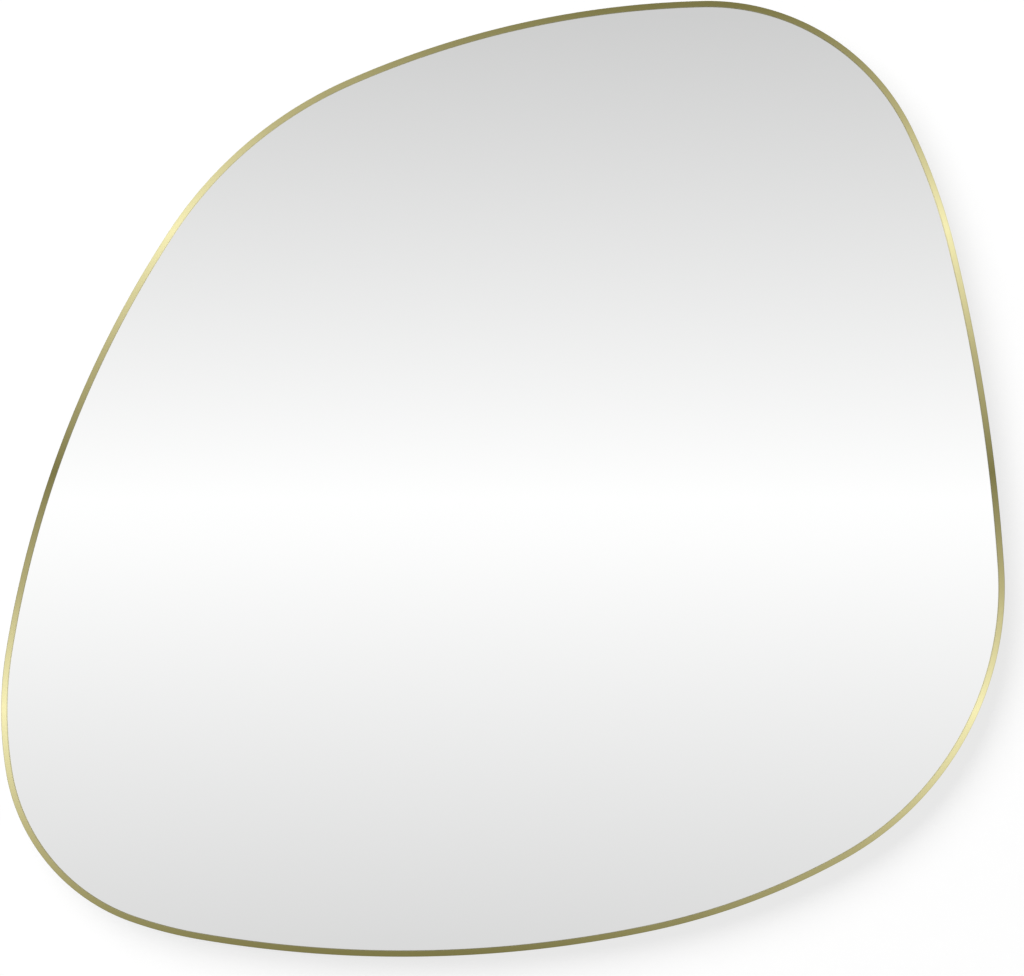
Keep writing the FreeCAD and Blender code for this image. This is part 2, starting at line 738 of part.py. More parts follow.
def hanger_strap(mirror, side, across):
    """Strap folded double round the ring's leg, with two screws.

    In its own frame Y points up from the hinge line and Z to the wall from the board's back.
    """
    rise = mirror.size("hanger_rise")
    body = mirror.body(f"hanger_strap_{side}", FACING_WALL, FreeCAD.Vector(across, 0, rise))
    body.setExpression("Placement.Base.y", "-" + BOARD_BACK)
    profile = sketch_on(body, f"{side}_strap_profile", "YZ_Plane")
    strap_profile(profile)
    pad(body, profile, "dims.strap_width", symmetric=True)

    length, half = mirror.size(STRAP_LENGTH), mirror.size("strap_width") / 2
    level = mirror.size("strap_sheet")
    ends = edges_at(local_shape(body), *[(s * half, -length, level) for s in (-1, 1)])
    round_edges(body, f"{side}_strap_end", ends, "dims.strap_end_round")

    holes = sketch_on(body, f"{side}_strap_holes", "XY_Plane")
    for name, drop in (("upper", UPPER_SCREW_DROP), ("lower", LOWER_SCREW_DROP)):
        circle(holes, name, "0", "-" + drop, HOLE_RADIUS)
        seat = FreeCAD.Vector(across, 0, rise - mirror.size(drop))
        mirror.screw_seats.append((seat, STRAP_THICKNESS))
    pocket(body, holes)
    mirror.keep(body)


def strap_profile(sketch):
    """Folded sheet seen from its side: a round eye that slopes back onto the lower layer."""
    length = value_of(sketch, STRAP_LENGTH)
    bottom, barrel, back, landing = folded_run(
        sketch, "barrel", BARREL_RADIUS, STRAP_THICKNESS, -length
    )
    corner = (-length, landing[1])
    top = add_line(sketch, landing, corner)
    end = add_line(sketch, corner, (-length, 0))
    join(sketch, back, top)
    join(sketch, top, end)
    join(sketch, end, bottom)
    sketch.addConstraint(Sketcher.Constraint("Horizontal", top))
    sketch.addConstraint(Sketcher.Constraint("Vertical", end))
    sketch.addConstraint(
        Sketcher.Constraint("PointOnObject", bottom, START_INDEX, ACROSS_AXIS_INDEX)
    )
    sketch.addConstraint(Sketcher.Constraint("PointOnObject", barrel, CENTRE_INDEX, UP_AXIS_INDEX))
    thickness = Sketcher.Constraint("DistanceY", *ORIGIN_INDEX, top, END_INDEX, landing[1])
    tie(sketch, thickness, "thickness", STRAP_THICKNESS)
    reach = Sketcher.Constraint("DistanceX", end, END_INDEX, *ORIGIN_INDEX, length)
    tie(sketch, reach, "length", STRAP_LENGTH)

    floor, eye, roof, meeting = folded_run(sketch, "eye", EYE_RADIUS, "dims.strap_sheet")
    join(sketch, roof, floor)
    sketch.addConstraint(Sketcher.Constraint("Coincident", eye, CENTRE_INDEX, barrel, CENTRE_INDEX))


def folded_run(sketch, name, radius, landing, tail=None):
    """One side of the sheet: along the bottom, round the eye and down its slope.

    The run starts at tail, or where its own slope lands. Returns its three elements and the
    point where the slope reaches the landing height.
    """
    size, middle_height = value_of(sketch, radius), value_of(sketch, BARREL_RADIUS)
    slope = math.radians(value_of(sketch, "dims.strap_fold_angle"))
    crest = (-size * math.sin(slope), middle_height + size * math.cos(slope))
    height = value_of(sketch, landing)
    foot = (crest[0] - (crest[1] - height) / math.tan(slope), height)
    low = middle_height - size
    along = add_line(sketch, (foot[0] if tail is None else tail, low), (0, low))
    around = add_arc(sketch, (0, middle_height), size, -math.pi / 2, math.pi + slope)
    down = add_line(sketch, crest, foot)
    join_tangent(sketch, along, around)
    join_tangent(sketch, around, down)
    sketch.addConstraint(Sketcher.Constraint("Horizontal", along))
    tie(sketch, Sketcher.Constraint("Radius", around, size), name + "_radius", radius)
    angle = Sketcher.Constraint("Angle", down, slope - math.pi)
    tie(sketch, angle, name + "_slope", f"{FOLD_SLOPE} - 180 deg")
    return along, around, down, foot


def hanging_ring(mirror, side, across):
    """Ring bent from wire: a straight leg in the strap's eye, two tight corners and a bow.

    In its own frame X runs along the leg, Y up and Z to the wall. It hangs down and leans on
    the strap.
    """
    hinge = mirror.size(BARREL_RADIUS)
    drop, bow = mirror.size(RING_DROP), mirror.size(RING_BOW_RADIUS)
    half_strap = mirror.size("strap_width") / 2
    over_strap = drop - bow + math.sqrt(bow**2 - half_strap**2)
    lean = math.asin(mirror.size(RING_STAND_OFF) / over_strap)
    rotation = FACING_WALL * FreeCAD.Rotation(FreeCAD.Vector(1, 0, 0), -math.degrees(lean))
    place = FreeCAD.Vector(across, 0, mirror.size("hanger_rise"))
    body = mirror.body(f"hanger_ring_{side}", rotation, place)
    body.setExpression("Placement.Base.y", f"-({BOARD_BACK} - {BARREL_RADIUS})")

    route = sketch_on(body, f"{side}_ring_route", "XY_Plane")
    ring_route(route)
    wire = sketch_on(body, f"{side}_ring_wire", "YZ_Plane")
    circle(wire, "wire", "0", "0", "dims.ring_wire_radius")
    mirror.doc.recompute()
    pipe = body.newObject("PartDesign::AdditivePipe", f"{side}_ring_pipe")
    pipe.Profile = wire
    pipe.Spine = (route, [f"Edge{number + 1}" for number in range(len(route.Shape.Edges))])
    mirror.keep(body)


def ring_route(sketch):
    """Middle line of the ring: half the leg, a corner, the bow, a corner and the other half."""
    half_leg, corner = value_of(sketch, RING_HALF_LEG), value_of(sketch, "dims.ring_corner_radius")
    bow, drop = value_of(sketch, RING_BOW_RADIUS), value_of(sketch, RING_DROP)
    rise = math.atan2(drop - bow - corner, half_leg)
    bend, quarter = math.pi / 2 - rise, math.pi / 2
    left_leg = add_line(sketch, (0, 0), (-half_leg, 0))
    left = add_arc(sketch, (-half_leg, -corner), corner, quarter, bend)
    bottom = add_arc(sketch, (0, bow - drop), bow, math.pi - rise, math.pi + 2 * rise)
    right = add_arc(sketch, (half_leg, -corner), corner, rise, bend)
    right_leg = add_line(sketch, (half_leg, 0), (0, 0))
    for first, second in ((left_leg, left), (left, bottom), (bottom, right), (right, right_leg)):
        join_tangent(sketch, first, second)
    join(sketch, right_leg, left_leg)
    sketch.addConstraint(Sketcher.Constraint("Coincident", left_leg, START_INDEX, *ORIGIN_INDEX))
    sketch.addConstraint(Sketcher.Constraint("Horizontal", left_leg))
    sketch.addConstraint(Sketcher.Constraint("Horizontal", right_leg))
    sketch.addConstraint(Sketcher.Constraint("Equal", left_leg, right_leg))
    sketch.addConstraint(Sketcher.Constraint("Equal", left, right))
    reach = Sketcher.Constraint("DistanceX", left_leg, END_INDEX, left_leg, START_INDEX, half_leg)
    tie(sketch, reach, "half_leg", RING_HALF_LEG)
    tie(sketch, Sketcher.Constraint("Radius", left, corner), "corner", "dims.ring_corner_radius")
    tie(sketch, Sketcher.Constraint("Radius", bottom, bow), "bow", RING_BOW_RADIUS)


def wall_bumper(mirror, bend_name):
    """Tapered rubber foot stuck to the board, as tall as the board is far from the wall."""
    place, _ = middle(mirror.bend(bend_name), mirror.size("bumper_inset"))
    body = mirror.body("bumper_" + bend_name, FACING_WALL, place)
    body.setExpression("Placement.Base.y", "-" + BOARD_BACK)
    profile = sketch_on(body, f"{bend_name}_bumper_profile", "XZ_Plane")
    polygon(
        profile,
        [
            ("0", "0"),
            ("dims.bumper_base_radius", "0"),
            ("dims.bumper_tip_radius", BOARD_BACK),
            ("0", BOARD_BACK),
        ],
    )
    revolve(body, profile)
    tip = edges_at(local_shape(body), (0, 0, mirror.size(BOARD_BACK)))
    round_edges(body, f"{bend_name}_bumper_tip", tip, "dims.bumper_tip_round")
    mirror.keep(body)


def board_screws(mirror):
    """Pan-head screws of one kind, one at every pilot hole of the board.

    In the master's own frame Z points to the wall from the underside of the head.
    """
    master = mirror.body("board_screw", FACING_WALL)
    profile = sketch_on(master, "screw_profile", "XZ_Plane")
    length = f"({SCREW_IN_BOARD} + {SCREW_GRIP})"
    polygon(
        profile,
        [
            ("0", "dims.screw_head_height"),
            ("0", "-" + length),
            (SCREW_RADIUS, f"dims.screw_point_length - {length}"),
            (SCREW_RADIUS, "0"),
            (HEAD_RADIUS, "0"),
            (HEAD_RADIUS, "dims.screw_head_height"),
        ],
    )
    revolve(master, profile)
    brim = edges_at(local_shape(master), (0, 0, mirror.size("screw_head_height")))
    round_edges(master, "screw_head_edge", brim, "dims.screw_head_round")
    slot = sketch_on(master, "screw_slot", "XY_Plane", "dims.screw_head_height")
    along, beside = "dims.recess_span / 2", "dims.recess_slot / 2"
    polygon(
        slot,
        [
            ("-" + along, "-" + beside),
            (along, "-" + beside),
            (along, beside),
            ("-" + along, beside),
        ],
    )
    cut = pocket(master, slot, "dims.recess_depth", along_normal=False)
    cross = master.newObject("PartDesign::PolarPattern", "screw_cross")
    cross.Originals = [cut]
    cross.Axis = (slot, ["N_Axis"])
    cross.Angle = QUARTER_TURN
    cross.Occurrences = 2
    master.Tip = cross

    screws = []
    for number, (seat, thickness) in enumerate(mirror.screw_seats, start=1):
        screw = mirror.doc.addObject("App::Link", f"board_screw_{number}")
        screw.LinkedObject = master
        screw.Placement = FreeCAD.Placement(seat, FACING_WALL)
        screw.setExpression("Placement.Base.y", f"{thickness} - {BOARD_BACK}")
        screws.append(screw)
    group = mirror.doc.addObject("Part::Compound", "board_screws")
    group.Links = screws
    mirror.keep(group)


# ---------------------------------------------------------------- writing the parts


def check(mirror):
    """Stops on any object that failed and on any sub-part without one sound shape."""
    mirror.doc.recompute()
    for thing in mirror.doc.Objects:
        if {"Invalid", "Error"} & set(thing.State):
            raise RuntimeError(f"{thing.Label} failed: {thing.State}")
    for part in mirror.parts:
        if part.Shape.isNull() or not part.Shape.isValid() or not part.Shape.Solids:
            raise RuntimeError(f"{part.Label} has no valid solid")


def write(mirror):
    """Writes every sub-part to a file of its own name."""
    os.makedirs(PARTS_FOLDER, exist_ok=True)
    for part in mirror.parts:
        part.Shape.exportStep(f"{PARTS_FOLDER}/{part.Label}.step")
        solids = len(part.Shape.Solids)
        print(f"{part.Label}: {solids} solid(s), {part.Shape.Volume:.1f} mm3")


def main():
    """Builds the mirror from the front to the wall and writes its parts."""
    mirror = Mirror()
    frame_band(mirror)
    glass_gasket(mirror)
    mirror_glass(mirror)
    safety_film(mirror)
    bonding_tapes(mirror)
    for bend_name in TAB_BENDS:
        frame_tab(mirror, bend_name)
    for side, sign in (("left", -1), ("right", 1)):
        across = sign * mirror.size("hanger_spacing") / 2
        hanger_strap(mirror, side, across)
        hanging_ring(mirror, side, across)
    backing_board(mirror)
    board_screws(mirror)
    for bend_name in BUMPER_BENDS:
        wall_bumper(mirror, bend_name)
    check(mirror)
    write(mirror)


main()
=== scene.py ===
"""Irregular wall mirror: its looks, built round the packed model.

A rounded, lopsided pane of silvered glass in a slim gold band. Behind it are a fibreboard back
held by welded tabs, hanging rings that swing in folded straps, and rubber wall bumpers.
Metres, X to the viewer's right, Z up, Y to the wall. The origin lies on the wall behind the
middle of the mirror.
"""

import math
from collections import namedtuple

import bmesh
import bpy
import numpy as np
from bpy.props import FloatProperty, FloatVectorProperty, PointerProperty
from mathutils import Matrix, Vector, noise


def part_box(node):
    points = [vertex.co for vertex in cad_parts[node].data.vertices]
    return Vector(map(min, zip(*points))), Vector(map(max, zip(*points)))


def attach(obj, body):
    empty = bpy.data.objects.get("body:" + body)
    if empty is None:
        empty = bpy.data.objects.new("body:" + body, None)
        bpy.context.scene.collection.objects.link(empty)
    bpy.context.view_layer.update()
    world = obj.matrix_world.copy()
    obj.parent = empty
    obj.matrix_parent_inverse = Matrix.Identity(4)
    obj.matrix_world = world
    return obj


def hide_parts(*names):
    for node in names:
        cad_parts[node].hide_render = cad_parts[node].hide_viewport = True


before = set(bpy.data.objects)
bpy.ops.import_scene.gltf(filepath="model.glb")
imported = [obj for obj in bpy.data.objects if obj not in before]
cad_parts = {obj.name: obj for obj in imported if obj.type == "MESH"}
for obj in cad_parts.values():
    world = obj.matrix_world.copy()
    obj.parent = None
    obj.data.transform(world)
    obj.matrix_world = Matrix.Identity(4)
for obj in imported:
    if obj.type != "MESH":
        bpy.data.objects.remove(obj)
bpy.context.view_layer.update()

bl_info = {
    "name": "Irregular Wall Mirror",
    "version": (1, 0, 0),
    "blender": (4, 5, 0),
    "location": "View3D > Sidebar > Mirror",
    "description": "Dresses the packed model of an irregular wall mirror in a gold band",
    "category": "Object",
}

# The outline anticlockwise from the right-hand side: name, angle in degrees and radius in
# metres at the band's outer face. The long sides get their radii from the overall size, and
# the last bend closes the turn.
BENDS = (
    ("right_side", 10, None),
    ("right_shoulder", 12, 0.495),
    ("top_right_corner", 65.5, 0.190),
    ("top_side", 22.5, None),
    ("upper_left_bend", 33, 0.345),
    ("left_side", 24, None),
    ("left_foot", 18.5, 0.315),
    ("lower_left_corner", 61.5, 0.160),
    ("bottom_heel", 9.5, 0.355),
    ("bottom_side", 21.5, None),
    ("bottom_right_rise", 17, 0.585),
    ("lower_right_corner", None, 0.260),
)

ROUND_STEPS = 5  # Steps round each rounded corner of the band's section
SMOOTH_BELOW = math.radians(35)  # Faces that meet at less than this are shaded as one.
SAME_POINT = 1e-5  # Points of a packed mesh closer than this, in metres, count as one.
WHITE = (1.0, 1.0, 1.0, 1.0)

Bend = namedtuple("Bend", "name centre radius heading sweep")
Rail = namedtuple("Rail", "point outward travel")
Corner = namedtuple("Corner", "inset depth radius")


# ---------------------------------------------------------------- sizes and colours


def number(name, description, default, **more):
    """Property for a number."""
    return FloatProperty(name=name, description=description, default=default, **more)


def length(name, description, default):
    """Property for a length in metres."""
    return number(name, description, default, min=0.0, unit="LENGTH", precision=5)


def share(name, description, default):
    """Property for a plain number from 0 to 1."""
    return number(name, description, default, min=0.0, max=1.0, subtype="FACTOR")


def colour(name, description, default):
    """Property for a scene-linear colour."""
    return FloatVectorProperty(
        name=name, description=description, default=default, min=0.0, max=1.0, subtype="COLOR"
    )


class OutlineSizes(bpy.types.PropertyGroup):
    """The outline that band and pane follow."""

    width: length("Overall width", "Over the band", 0.840)
    height: length("Overall height", "Over the band", 0.800)
    lean: number("Right side's lean", "From upright, where the right side starts",
                 math.radians(3.8), subtype="ANGLE")
    step: number("Step", "Turn of the outline from one point to the next",
                 math.radians(0.3), subtype="ANGLE")


class BandLooks(bpy.types.PropertyGroup):
    """The gold band."""

    wall: length("Side wall", "Thickness of the side wall", 0.0015)
    lip: length("Face", "Width of the face seen from the front", 0.005)
    lip_thickness: length("Face thickness", "Thickness of the face", 0.0015)
    outer_round: length("Outer round", "Radius of the front outer edge", 0.0006)
    inner_round: length("Inner round", "Radius of the edge beside the glass", 0.0003)
    rear_round: length("Rear round", "Radius of the other edges", 0.0001)
    # Painted reflection: the band's colour runs through these three golds by height, standing in
    # for the bright and dark parts of the studio reflected in the plating.
    painted_highlight_gold: colour("Light gold", "Where the plating is brightest", (1.0, 0.93, 0.51))
    painted_half_sheen_gold: colour("Middle gold", "Between light and dark", (0.515, 0.467, 0.226))
    painted_shade_gold: colour("Dark gold", "Where the plating is darkest", (0.214, 0.194, 0.071))
    roughness: share("Roughness", "Of the satin plating", 0.36)


class PaneLooks(bpy.types.PropertyGroup):
    """The silvered glass."""

    inset: length("Inset", "Band's outer face to the edge of the glass", 0.002)
    bevel: length("Bevel", "Ground edges", 0.0004)
    silver: colour("Silvering", "Tint of the reflection", (0.985, 0.988, 0.986))
    edge: colour("Glass edge", "Ground edge of the glass", (0.30, 0.46, 0.40))
    backing: colour("Back paint", "Paint over the silvering", (0.19, 0.21, 0.23))


class BackLooks(bpy.types.PropertyGroup):
    """Board, soft layers and bumpers."""

    fibre: colour("Fibreboard", "Face of the board", (0.42, 0.29, 0.175))
    fibre_dark: colour("Fibreboard, dark", "Its darker fibres and cut edge", (0.23, 0.14, 0.075))
    foam: colour("Tape foam", "Bonding tapes", (0.86, 0.86, 0.83))
    gasket: colour("Gasket foam", "Gasket behind the lip", (0.035, 0.035, 0.037))
    film: colour("Film", "Safety film", (0.42, 0.50, 0.55))
    rubber: colour("Rubber", "Wall bumpers", (0.022, 0.022, 0.023))


class HardwareLooks(bpy.types.PropertyGroup):
    """Tabs, straps, rings and screws."""

    steel: colour("Sheet steel", "Welded tabs", (0.56, 0.56, 0.54))
    zinc: colour("Bright zinc", "Straps and rings", (0.66, 0.68, 0.70))
    yellow_zinc: colour("Yellow zinc", "Screws", (0.72, 0.66, 0.44))
    weld: colour("Weld", "Weld beads", (0.30, 0.285, 0.27))
    head_radius: length("Head radius", "Screw head", 0.00325)
    head_height: length("Head height", "Screw head", 0.0022)
    shank_radius: length("Shank radius", "Screw shank over the thread", 0.00175)
    shank_length: length("Shank length", "Underside of the head to the point", 0.009)
    point_length: length("Point length", "Of the screw", 0.0025)
    thread_pitch: length("Thread pitch", "One turn of the thread", 0.0012)
    bead_radius: length("Bead radius", "Weld beads", 0.0008)


class StageLooks(bpy.types.PropertyGroup):
    """Backdrop, lights and camera."""

    camera_distance: length("Camera distance", "Camera to the band's face", 2.5)
    view_width: length("View width", "Seen across the band's face", 0.85667)
    view_across: number("View across", "Middle of the view", 0.0076, unit="LENGTH")
    view_up: number("View up", "Middle of the view", -0.0077, unit="LENGTH")
    floor_drop: length("Floor drop", "Floor below the middle of the mirror", 0.75)
    cove_radius: length("Cove radius", "Where the wall runs into the floor", 0.25)
    lamp_distance: length("Lamp distance", "Wall to the panels of light", 10.0)
    key_power: number("Key power", "Panel to the upper left in front", 6880, unit="POWER")
    back_power: number("Back power", "Panel above and behind the wall", 2100, unit="POWER")
    fill: number("Fill", "Even light from all round", 0.15)
    backdrop_grey: share("Backdrop grey", "Paint of wall and floor", 0.235)
    backdrop_glow: number("Backdrop glow", "Its own light, for the camera alone", 0.7725)


LOOKS = {
    "mirror_outline": OutlineSizes,
    "mirror_band": BandLooks,
    "mirror_pane": PaneLooks,
    "mirror_back": BackLooks,
    "mirror_hardware": HardwareLooks,
    "mirror_stage": StageLooks,
}


# ---------------------------------------------------------------- the outline


def arc_travel(start, end):
    """Sideways and upward travel on an arc of radius 1 while its heading turns start to end."""
    return math.sin(end) - math.sin(start), math.cos(start) - math.cos(end)


def travel_between(start, end, low, high):
    """The same, counting only the part of the arc whose heading lies between low and high."""
    across = rise = 0.0
    for turn in (-math.tau, 0, math.tau):
        first, last = max(start, low + turn), min(end, high + turn)
        if last > first:
            across += arc_travel(first, last)[0]
            rise += arc_travel(first, last)[1]
    return across, rise


def outward_at(heading):
    """Direction out of the outline where it is travelled with that heading."""
    return Vector((math.sin(heading), 0, -math.cos(heading)))


def outline_bends(outline):
    """Bends of the band's outer face, with the long sides solved from the overall size."""
    turns = [math.radians(angle) for _, angle, _ in BENDS[:-1]]
    turns.append(math.tau - sum(turns))
    headings = [math.pi / 2 + outline.lean + sum(turns[:i]) for i in range(len(turns))]
    radii = [radius for _, _, radius in BENDS]
    long_sides = [i for i, radius in enumerate(radii) if radius is None]
    # Four sums over the bends: the turn closes sideways and upward, its leftward half spans
    # the width and its rising half spans the height.
    shares, wanted = np.zeros((4, 4)), np.array([0, 0, -outline.width, outline.height])
    for i, (start, turn) in enumerate(zip(headings, turns)):
        row = (
            *arc_travel(start, start + turn),
            travel_between(start, start + turn, math.pi / 2, 3 * math.pi / 2)[0],
            travel_between(start, start + turn, 0, math.pi)[1],
        )
        if radii[i] is None:
            shares[:, long_sides.index(i)] = row
        else:
            wanted = wanted - np.array(row) * radii[i]
    for i, radius in zip(long_sides, np.linalg.solve(shares, wanted)):
        radii[i] = float(radius)

    bends, point = [], Vector()
    for (name, _, _), heading, turn, radius in zip(BENDS, headings, turns, radii):
        centre = point - outward_at(heading) * radius
        bends.append(Bend(name, centre, radius, heading, turn))
        point = centre + outward_at(heading + turn) * radius
    right, top = (
        next(b for b in bends if (heading - b.heading) % math.tau <= b.sweep)
        for heading in (math.pi / 2, math.pi)
    )
    shift = Vector((
        outline.width / 2 - right.centre.x - right.radius,
        0,
        outline.height / 2 - top.centre.z - top.radius,
    ))
    return [bend._replace(centre=bend.centre + shift) for bend in bends]


def outline_rail(outline):
    """Closely spaced points of the outline, each with its way out and the distance travelled."""
    rail, travel = [], 0.0
    for bend in outline_bends(outline):
        count = math.ceil(bend.sweep / outline.step)
        for i in range(count):
            outward = outward_at(bend.heading + bend.sweep * i / count)
            rail.append(Rail(bend.centre + outward * bend.radius, outward, travel))
            travel += bend.radius * bend.sweep / count
    return rail, travel


# ---------------------------------------------------------------- mesh tools


def linked(name, data):
    """New object for some data, in the scene."""
    thing = bpy.data.objects.new(name, data)
    bpy.context.scene.collection.objects.link(thing)
    return thing


def new_piece(name, mesh, body, slot, *materials):
    """Object for a finished mesh, riding on a body and dressed in its materials."""
    piece = linked(name, mesh)
    for material in materials:
        mesh.materials.append(material)
    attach(piece, body)
    return piece


def mesh_from(bm, name):
    """Mesh of a finished bmesh, smooth but for its sharp edges."""
    mesh = bpy.data.meshes.new(name)
    bm.to_mesh(mesh)
    bm.free()
    mesh.shade_smooth()
    mesh.set_sharp_from_angle(angle=SMOOTH_BELOW)
    return mesh


def close_rings(bm, rings):
    """Faces between each ring of points and the next, and one over either end."""
    for near, far in zip(rings, rings[1:]):
        for k in range(len(near)):
            n = (k + 1) % len(near)
            bm.faces.new((near[k], far[k], far[n], near[n]))
    bm.faces.new(rings[0])
    bm.faces.new(reversed(rings[-1]))


def rounded_section(corners):
    """Section of a band with its corners rounded, as rows of inset, depth and the normal's two."""
    rows = []
    neighbours = zip(corners[-1:] + corners[:-1], corners, corners[1:] + corners[:1])
    for before, corner, after in neighbours:
        here = np.array(corner[:2])
        arriving, leaving = here - np.array(before[:2]), np.array(after[:2]) - here
        arriving, leaving = arriving / np.hypot(*arriving), leaving / np.hypot(*leaving)
        turn = math.atan2(arriving[0] * leaving[1] - arriving[1] * leaving[0], arriving @ leaving)
        tangent = corner.radius * math.tan(abs(turn) / 2)
        side = np.array((-arriving[1], arriving[0])) * math.copysign(1, turn)
        centre = here - arriving * tangent + side * corner.radius
        for i in range(ROUND_STEPS + 1):
            angle = turn * i / ROUND_STEPS
            spoke = np.array((
                -side[0] * math.cos(angle) + side[1] * math.sin(angle),
                -side[0] * math.sin(angle) - side[1] * math.cos(angle),
            ))
            place = centre + spoke * corner.radius
            # The section runs clockwise, so a turn to the left is a hollow corner.
            rows.append((*place, *(spoke if turn < 0 else -spoke)))
    return rows


def swept_mesh(name, rail, around, rows):
    """Closed band swept round the outline, with a UV map in metres along and across it."""
    across = [0.0]
    for before, row in zip(rows, rows[1:] + rows[:1]):
        across.append(across[-1] + math.hypot(row[0] - before[0], row[1] - before[1]))
    travels = [step.travel for step in rail] + [around]
    sides = len(rows)
    verts = [
        (point.x - out.x * row[0], -row[1], point.z - out.z * row[0])
        for point, out, _ in rail
        for row in rows
    ]
    faces, places = [], []
    for i in range(len(rail)):
        here, ahead = i * sides, (i + 1) % len(rail) * sides
        for j in range(sides):
            k = (j + 1) % sides
            faces.append((here + j, ahead + j, ahead + k, here + k))
            u, v = travels[i : i + 2], across[j : j + 2]
            places += [u[0], v[0], u[1], v[0], u[1], v[1], u[0], v[1]]
    mesh = bpy.data.meshes.new(name)
    mesh.from_pydata(verts, [], faces)
    mesh.uv_layers.new(name="along").data.foreach_set("uv", places)
    mesh.shade_smooth()
    normals = [
        (-out.x * row[2], -row[3], -out.z * row[2]) for _, out, _ in rail for row in rows
    ]
    mesh.normals_split_custom_set_from_vertices(normals)
    return mesh


def node_islands(name):
    """Lowest and highest corners of each separate solid in a CAD node."""
    bm = bmesh.new()
    bm.from_mesh(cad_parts[name].data)
    bmesh.ops.remove_doubles(bm, verts=bm.verts, dist=SAME_POINT)
    boxes, seen = [], set()
    for first in bm.verts:
        if first in seen:
            continue
        island, waiting = [], [first]
        seen.add(first)
        while waiting:
            vert = waiting.pop()
            island.append(vert.co)
            for edge in vert.link_edges:
                other = edge.other_vert(vert)
                if other not in seen:
                    seen.add(other)
                    waiting.append(other)
        boxes.append([Vector([pick(row) for row in zip(*island)]) for pick in (min, max)])
    bm.free()
    return boxes


# ---------------------------------------------------------------- shader tools


def opaque(rgb):
    """Colour with full alpha, as the sockets take it."""
    return (*rgb, 1.0)


class Shading:
    """A node tree with short calls for adding and joining its nodes."""

    def __init__(self, tree):
        self.tree = tree

    def put(self, value, socket):
        """Joins another node's output to a socket, or sets a plain value there."""
        if isinstance(value, bpy.types.NodeSocket):
            self.tree.links.new(value, socket)
        else:
            socket.default_value = value

    def add(self, kind, inputs=None, **settings):
        """New node of a kind, with its settings, and its inputs by name or number."""
        node = self.tree.nodes.new("ShaderNode" + kind)
        for name, value in settings.items():
            setattr(node, name, value)
        for key, value in (inputs or {}).items():
            self.put(value, node.inputs[key])
        return node

    def maths(self, operation, first, second=0.0, third=0.0):
        """Output of a Math node."""
        inputs = {0: first, 1: second, 2: third}
        return self.add("Math", inputs, operation=operation).outputs[0]

    def spread(self, value, low, high, to_low=0.0, to_high=1.0, smooth=False):
        """Output of a Map Range node."""
        inputs = {0: value, 1: low, 2: high, 3: to_low, 4: to_high}
        kind = "SMOOTHSTEP" if smooth else "LINEAR"
        return self.add("MapRange", inputs, interpolation_type=kind).outputs[0]

    def mixed(self, factor, first, second, blend="MIX"):
        """Output of a Mix node for colours."""
        inputs = {0: factor, 6: first, 7: second}
        return self.add("Mix", inputs, data_type="RGBA", blend_type=blend).outputs[2]

    def clouds(self, place, scale, detail, **others):
        """Output of a Noise Texture node."""
        inputs = {"Vector": place, "Scale": scale, "Detail": detail, **others}
        return self.add("TexNoise", inputs).outputs[0]

    def ramp(self, value, stops):
        """Output of a Color Ramp over a value, with its stops given as value and colour."""
        low, high = stops[0][0], stops[-1][0]
        node = self.add("ValToRGB", {0: self.spread(value, low, high)})
        elements = node.color_ramp.elements
        while len(elements) < len(stops):
            elements.new(0.5)
        for element, (place, rgb) in zip(elements, stops):
            element.position, element.color = (place - low) / (high - low), opaque(rgb)
        return node.outputs[0]

    def group(self, name, place, over=None, **inputs):
        """Node for a shared group, over the colour and roughness of another if one is given."""
        if name not in bpy.data.node_groups:
            GROUPS[name]()
        if over is not None:
            inputs.update(colour=over.outputs["Colour"], roughness=over.outputs["Roughness"])
        node = self.add("Group", node_tree=bpy.data.node_groups[name])
        self.put(place, node.inputs["Vector"])
        for key, value in inputs.items():
            self.put(value, node.inputs[key.replace("_", " ").capitalize()])
        return node


class Surface(Shading):
    """The nodes of a new material, with constants for its Principled shader's sockets."""

    def __init__(self, name, **constants):
        self.material = bpy.data.materials.new(name)
        self.material.use_nodes = True
        super().__init__(self.material.node_tree)
        self.shader = self.tree.nodes["Principled BSDF"]
        self.place = self.add("TexCoord").outputs["Object"]
        for key, value in constants.items():
            self.shader.inputs[key.replace("_", " ")].default_value = value

    def dress(self, finish, relief=None, strength=0.5, depth=0.0001):
        """The material, given a group's colour and roughness and the relief of one."""
        for name, socket in (("Colour", "Base Color"), ("Roughness", "Roughness")):
            if name in finish.outputs:
                self.put(finish.outputs[name], self.shader.inputs[socket])
        if relief is not None:
            inputs = {"Strength": strength, "Distance": depth, "Height": relief.outputs["Height"]}
            self.put(self.add("Bump", inputs).outputs[0], self.shader.inputs["Normal"])
        return self.material


def new_group(name, inputs, *outputs):
    """Empty shader group, with the kind of each input told by its default."""
    tree = bpy.data.node_groups.new(name, "ShaderNodeTree")
    kinds = {1: "NodeSocketFloat", 3: "NodeSocketVector", 4: "NodeSocketColor"}
    for label, default in inputs.items():
        kind = kinds[np.size(default)]
        socket = tree.interface.new_socket(name=label, in_out="INPUT", socket_type=kind)
        socket.default_value = default
    for label in outputs:
        kind = kinds[4 if label == "Colour" else 1]
        tree.interface.new_socket(name=label, in_out="OUTPUT", socket_type=kind)
    given, made = tree.nodes.new("NodeGroupInput"), tree.nodes.new("NodeGroupOutput")
    return Shading(tree), given.outputs, made.inputs


def finish_outputs(shading, outputs, **values):
    """Joins a group's results to its outputs."""
    for name, socket in values.items():
        shading.put(socket, outputs[name.capitalize()])


# Inputs that the groups have in common, with their defaults
COLOURED = {"Vector": (0.0, 0.0, 0.0), "Colour": (0.5, 0.5, 0.5, 1.0)}
SURFACED = {**COLOURED, "Roughness": 0.5}
MIDDLE = 0.5  # Noise swings about this value.


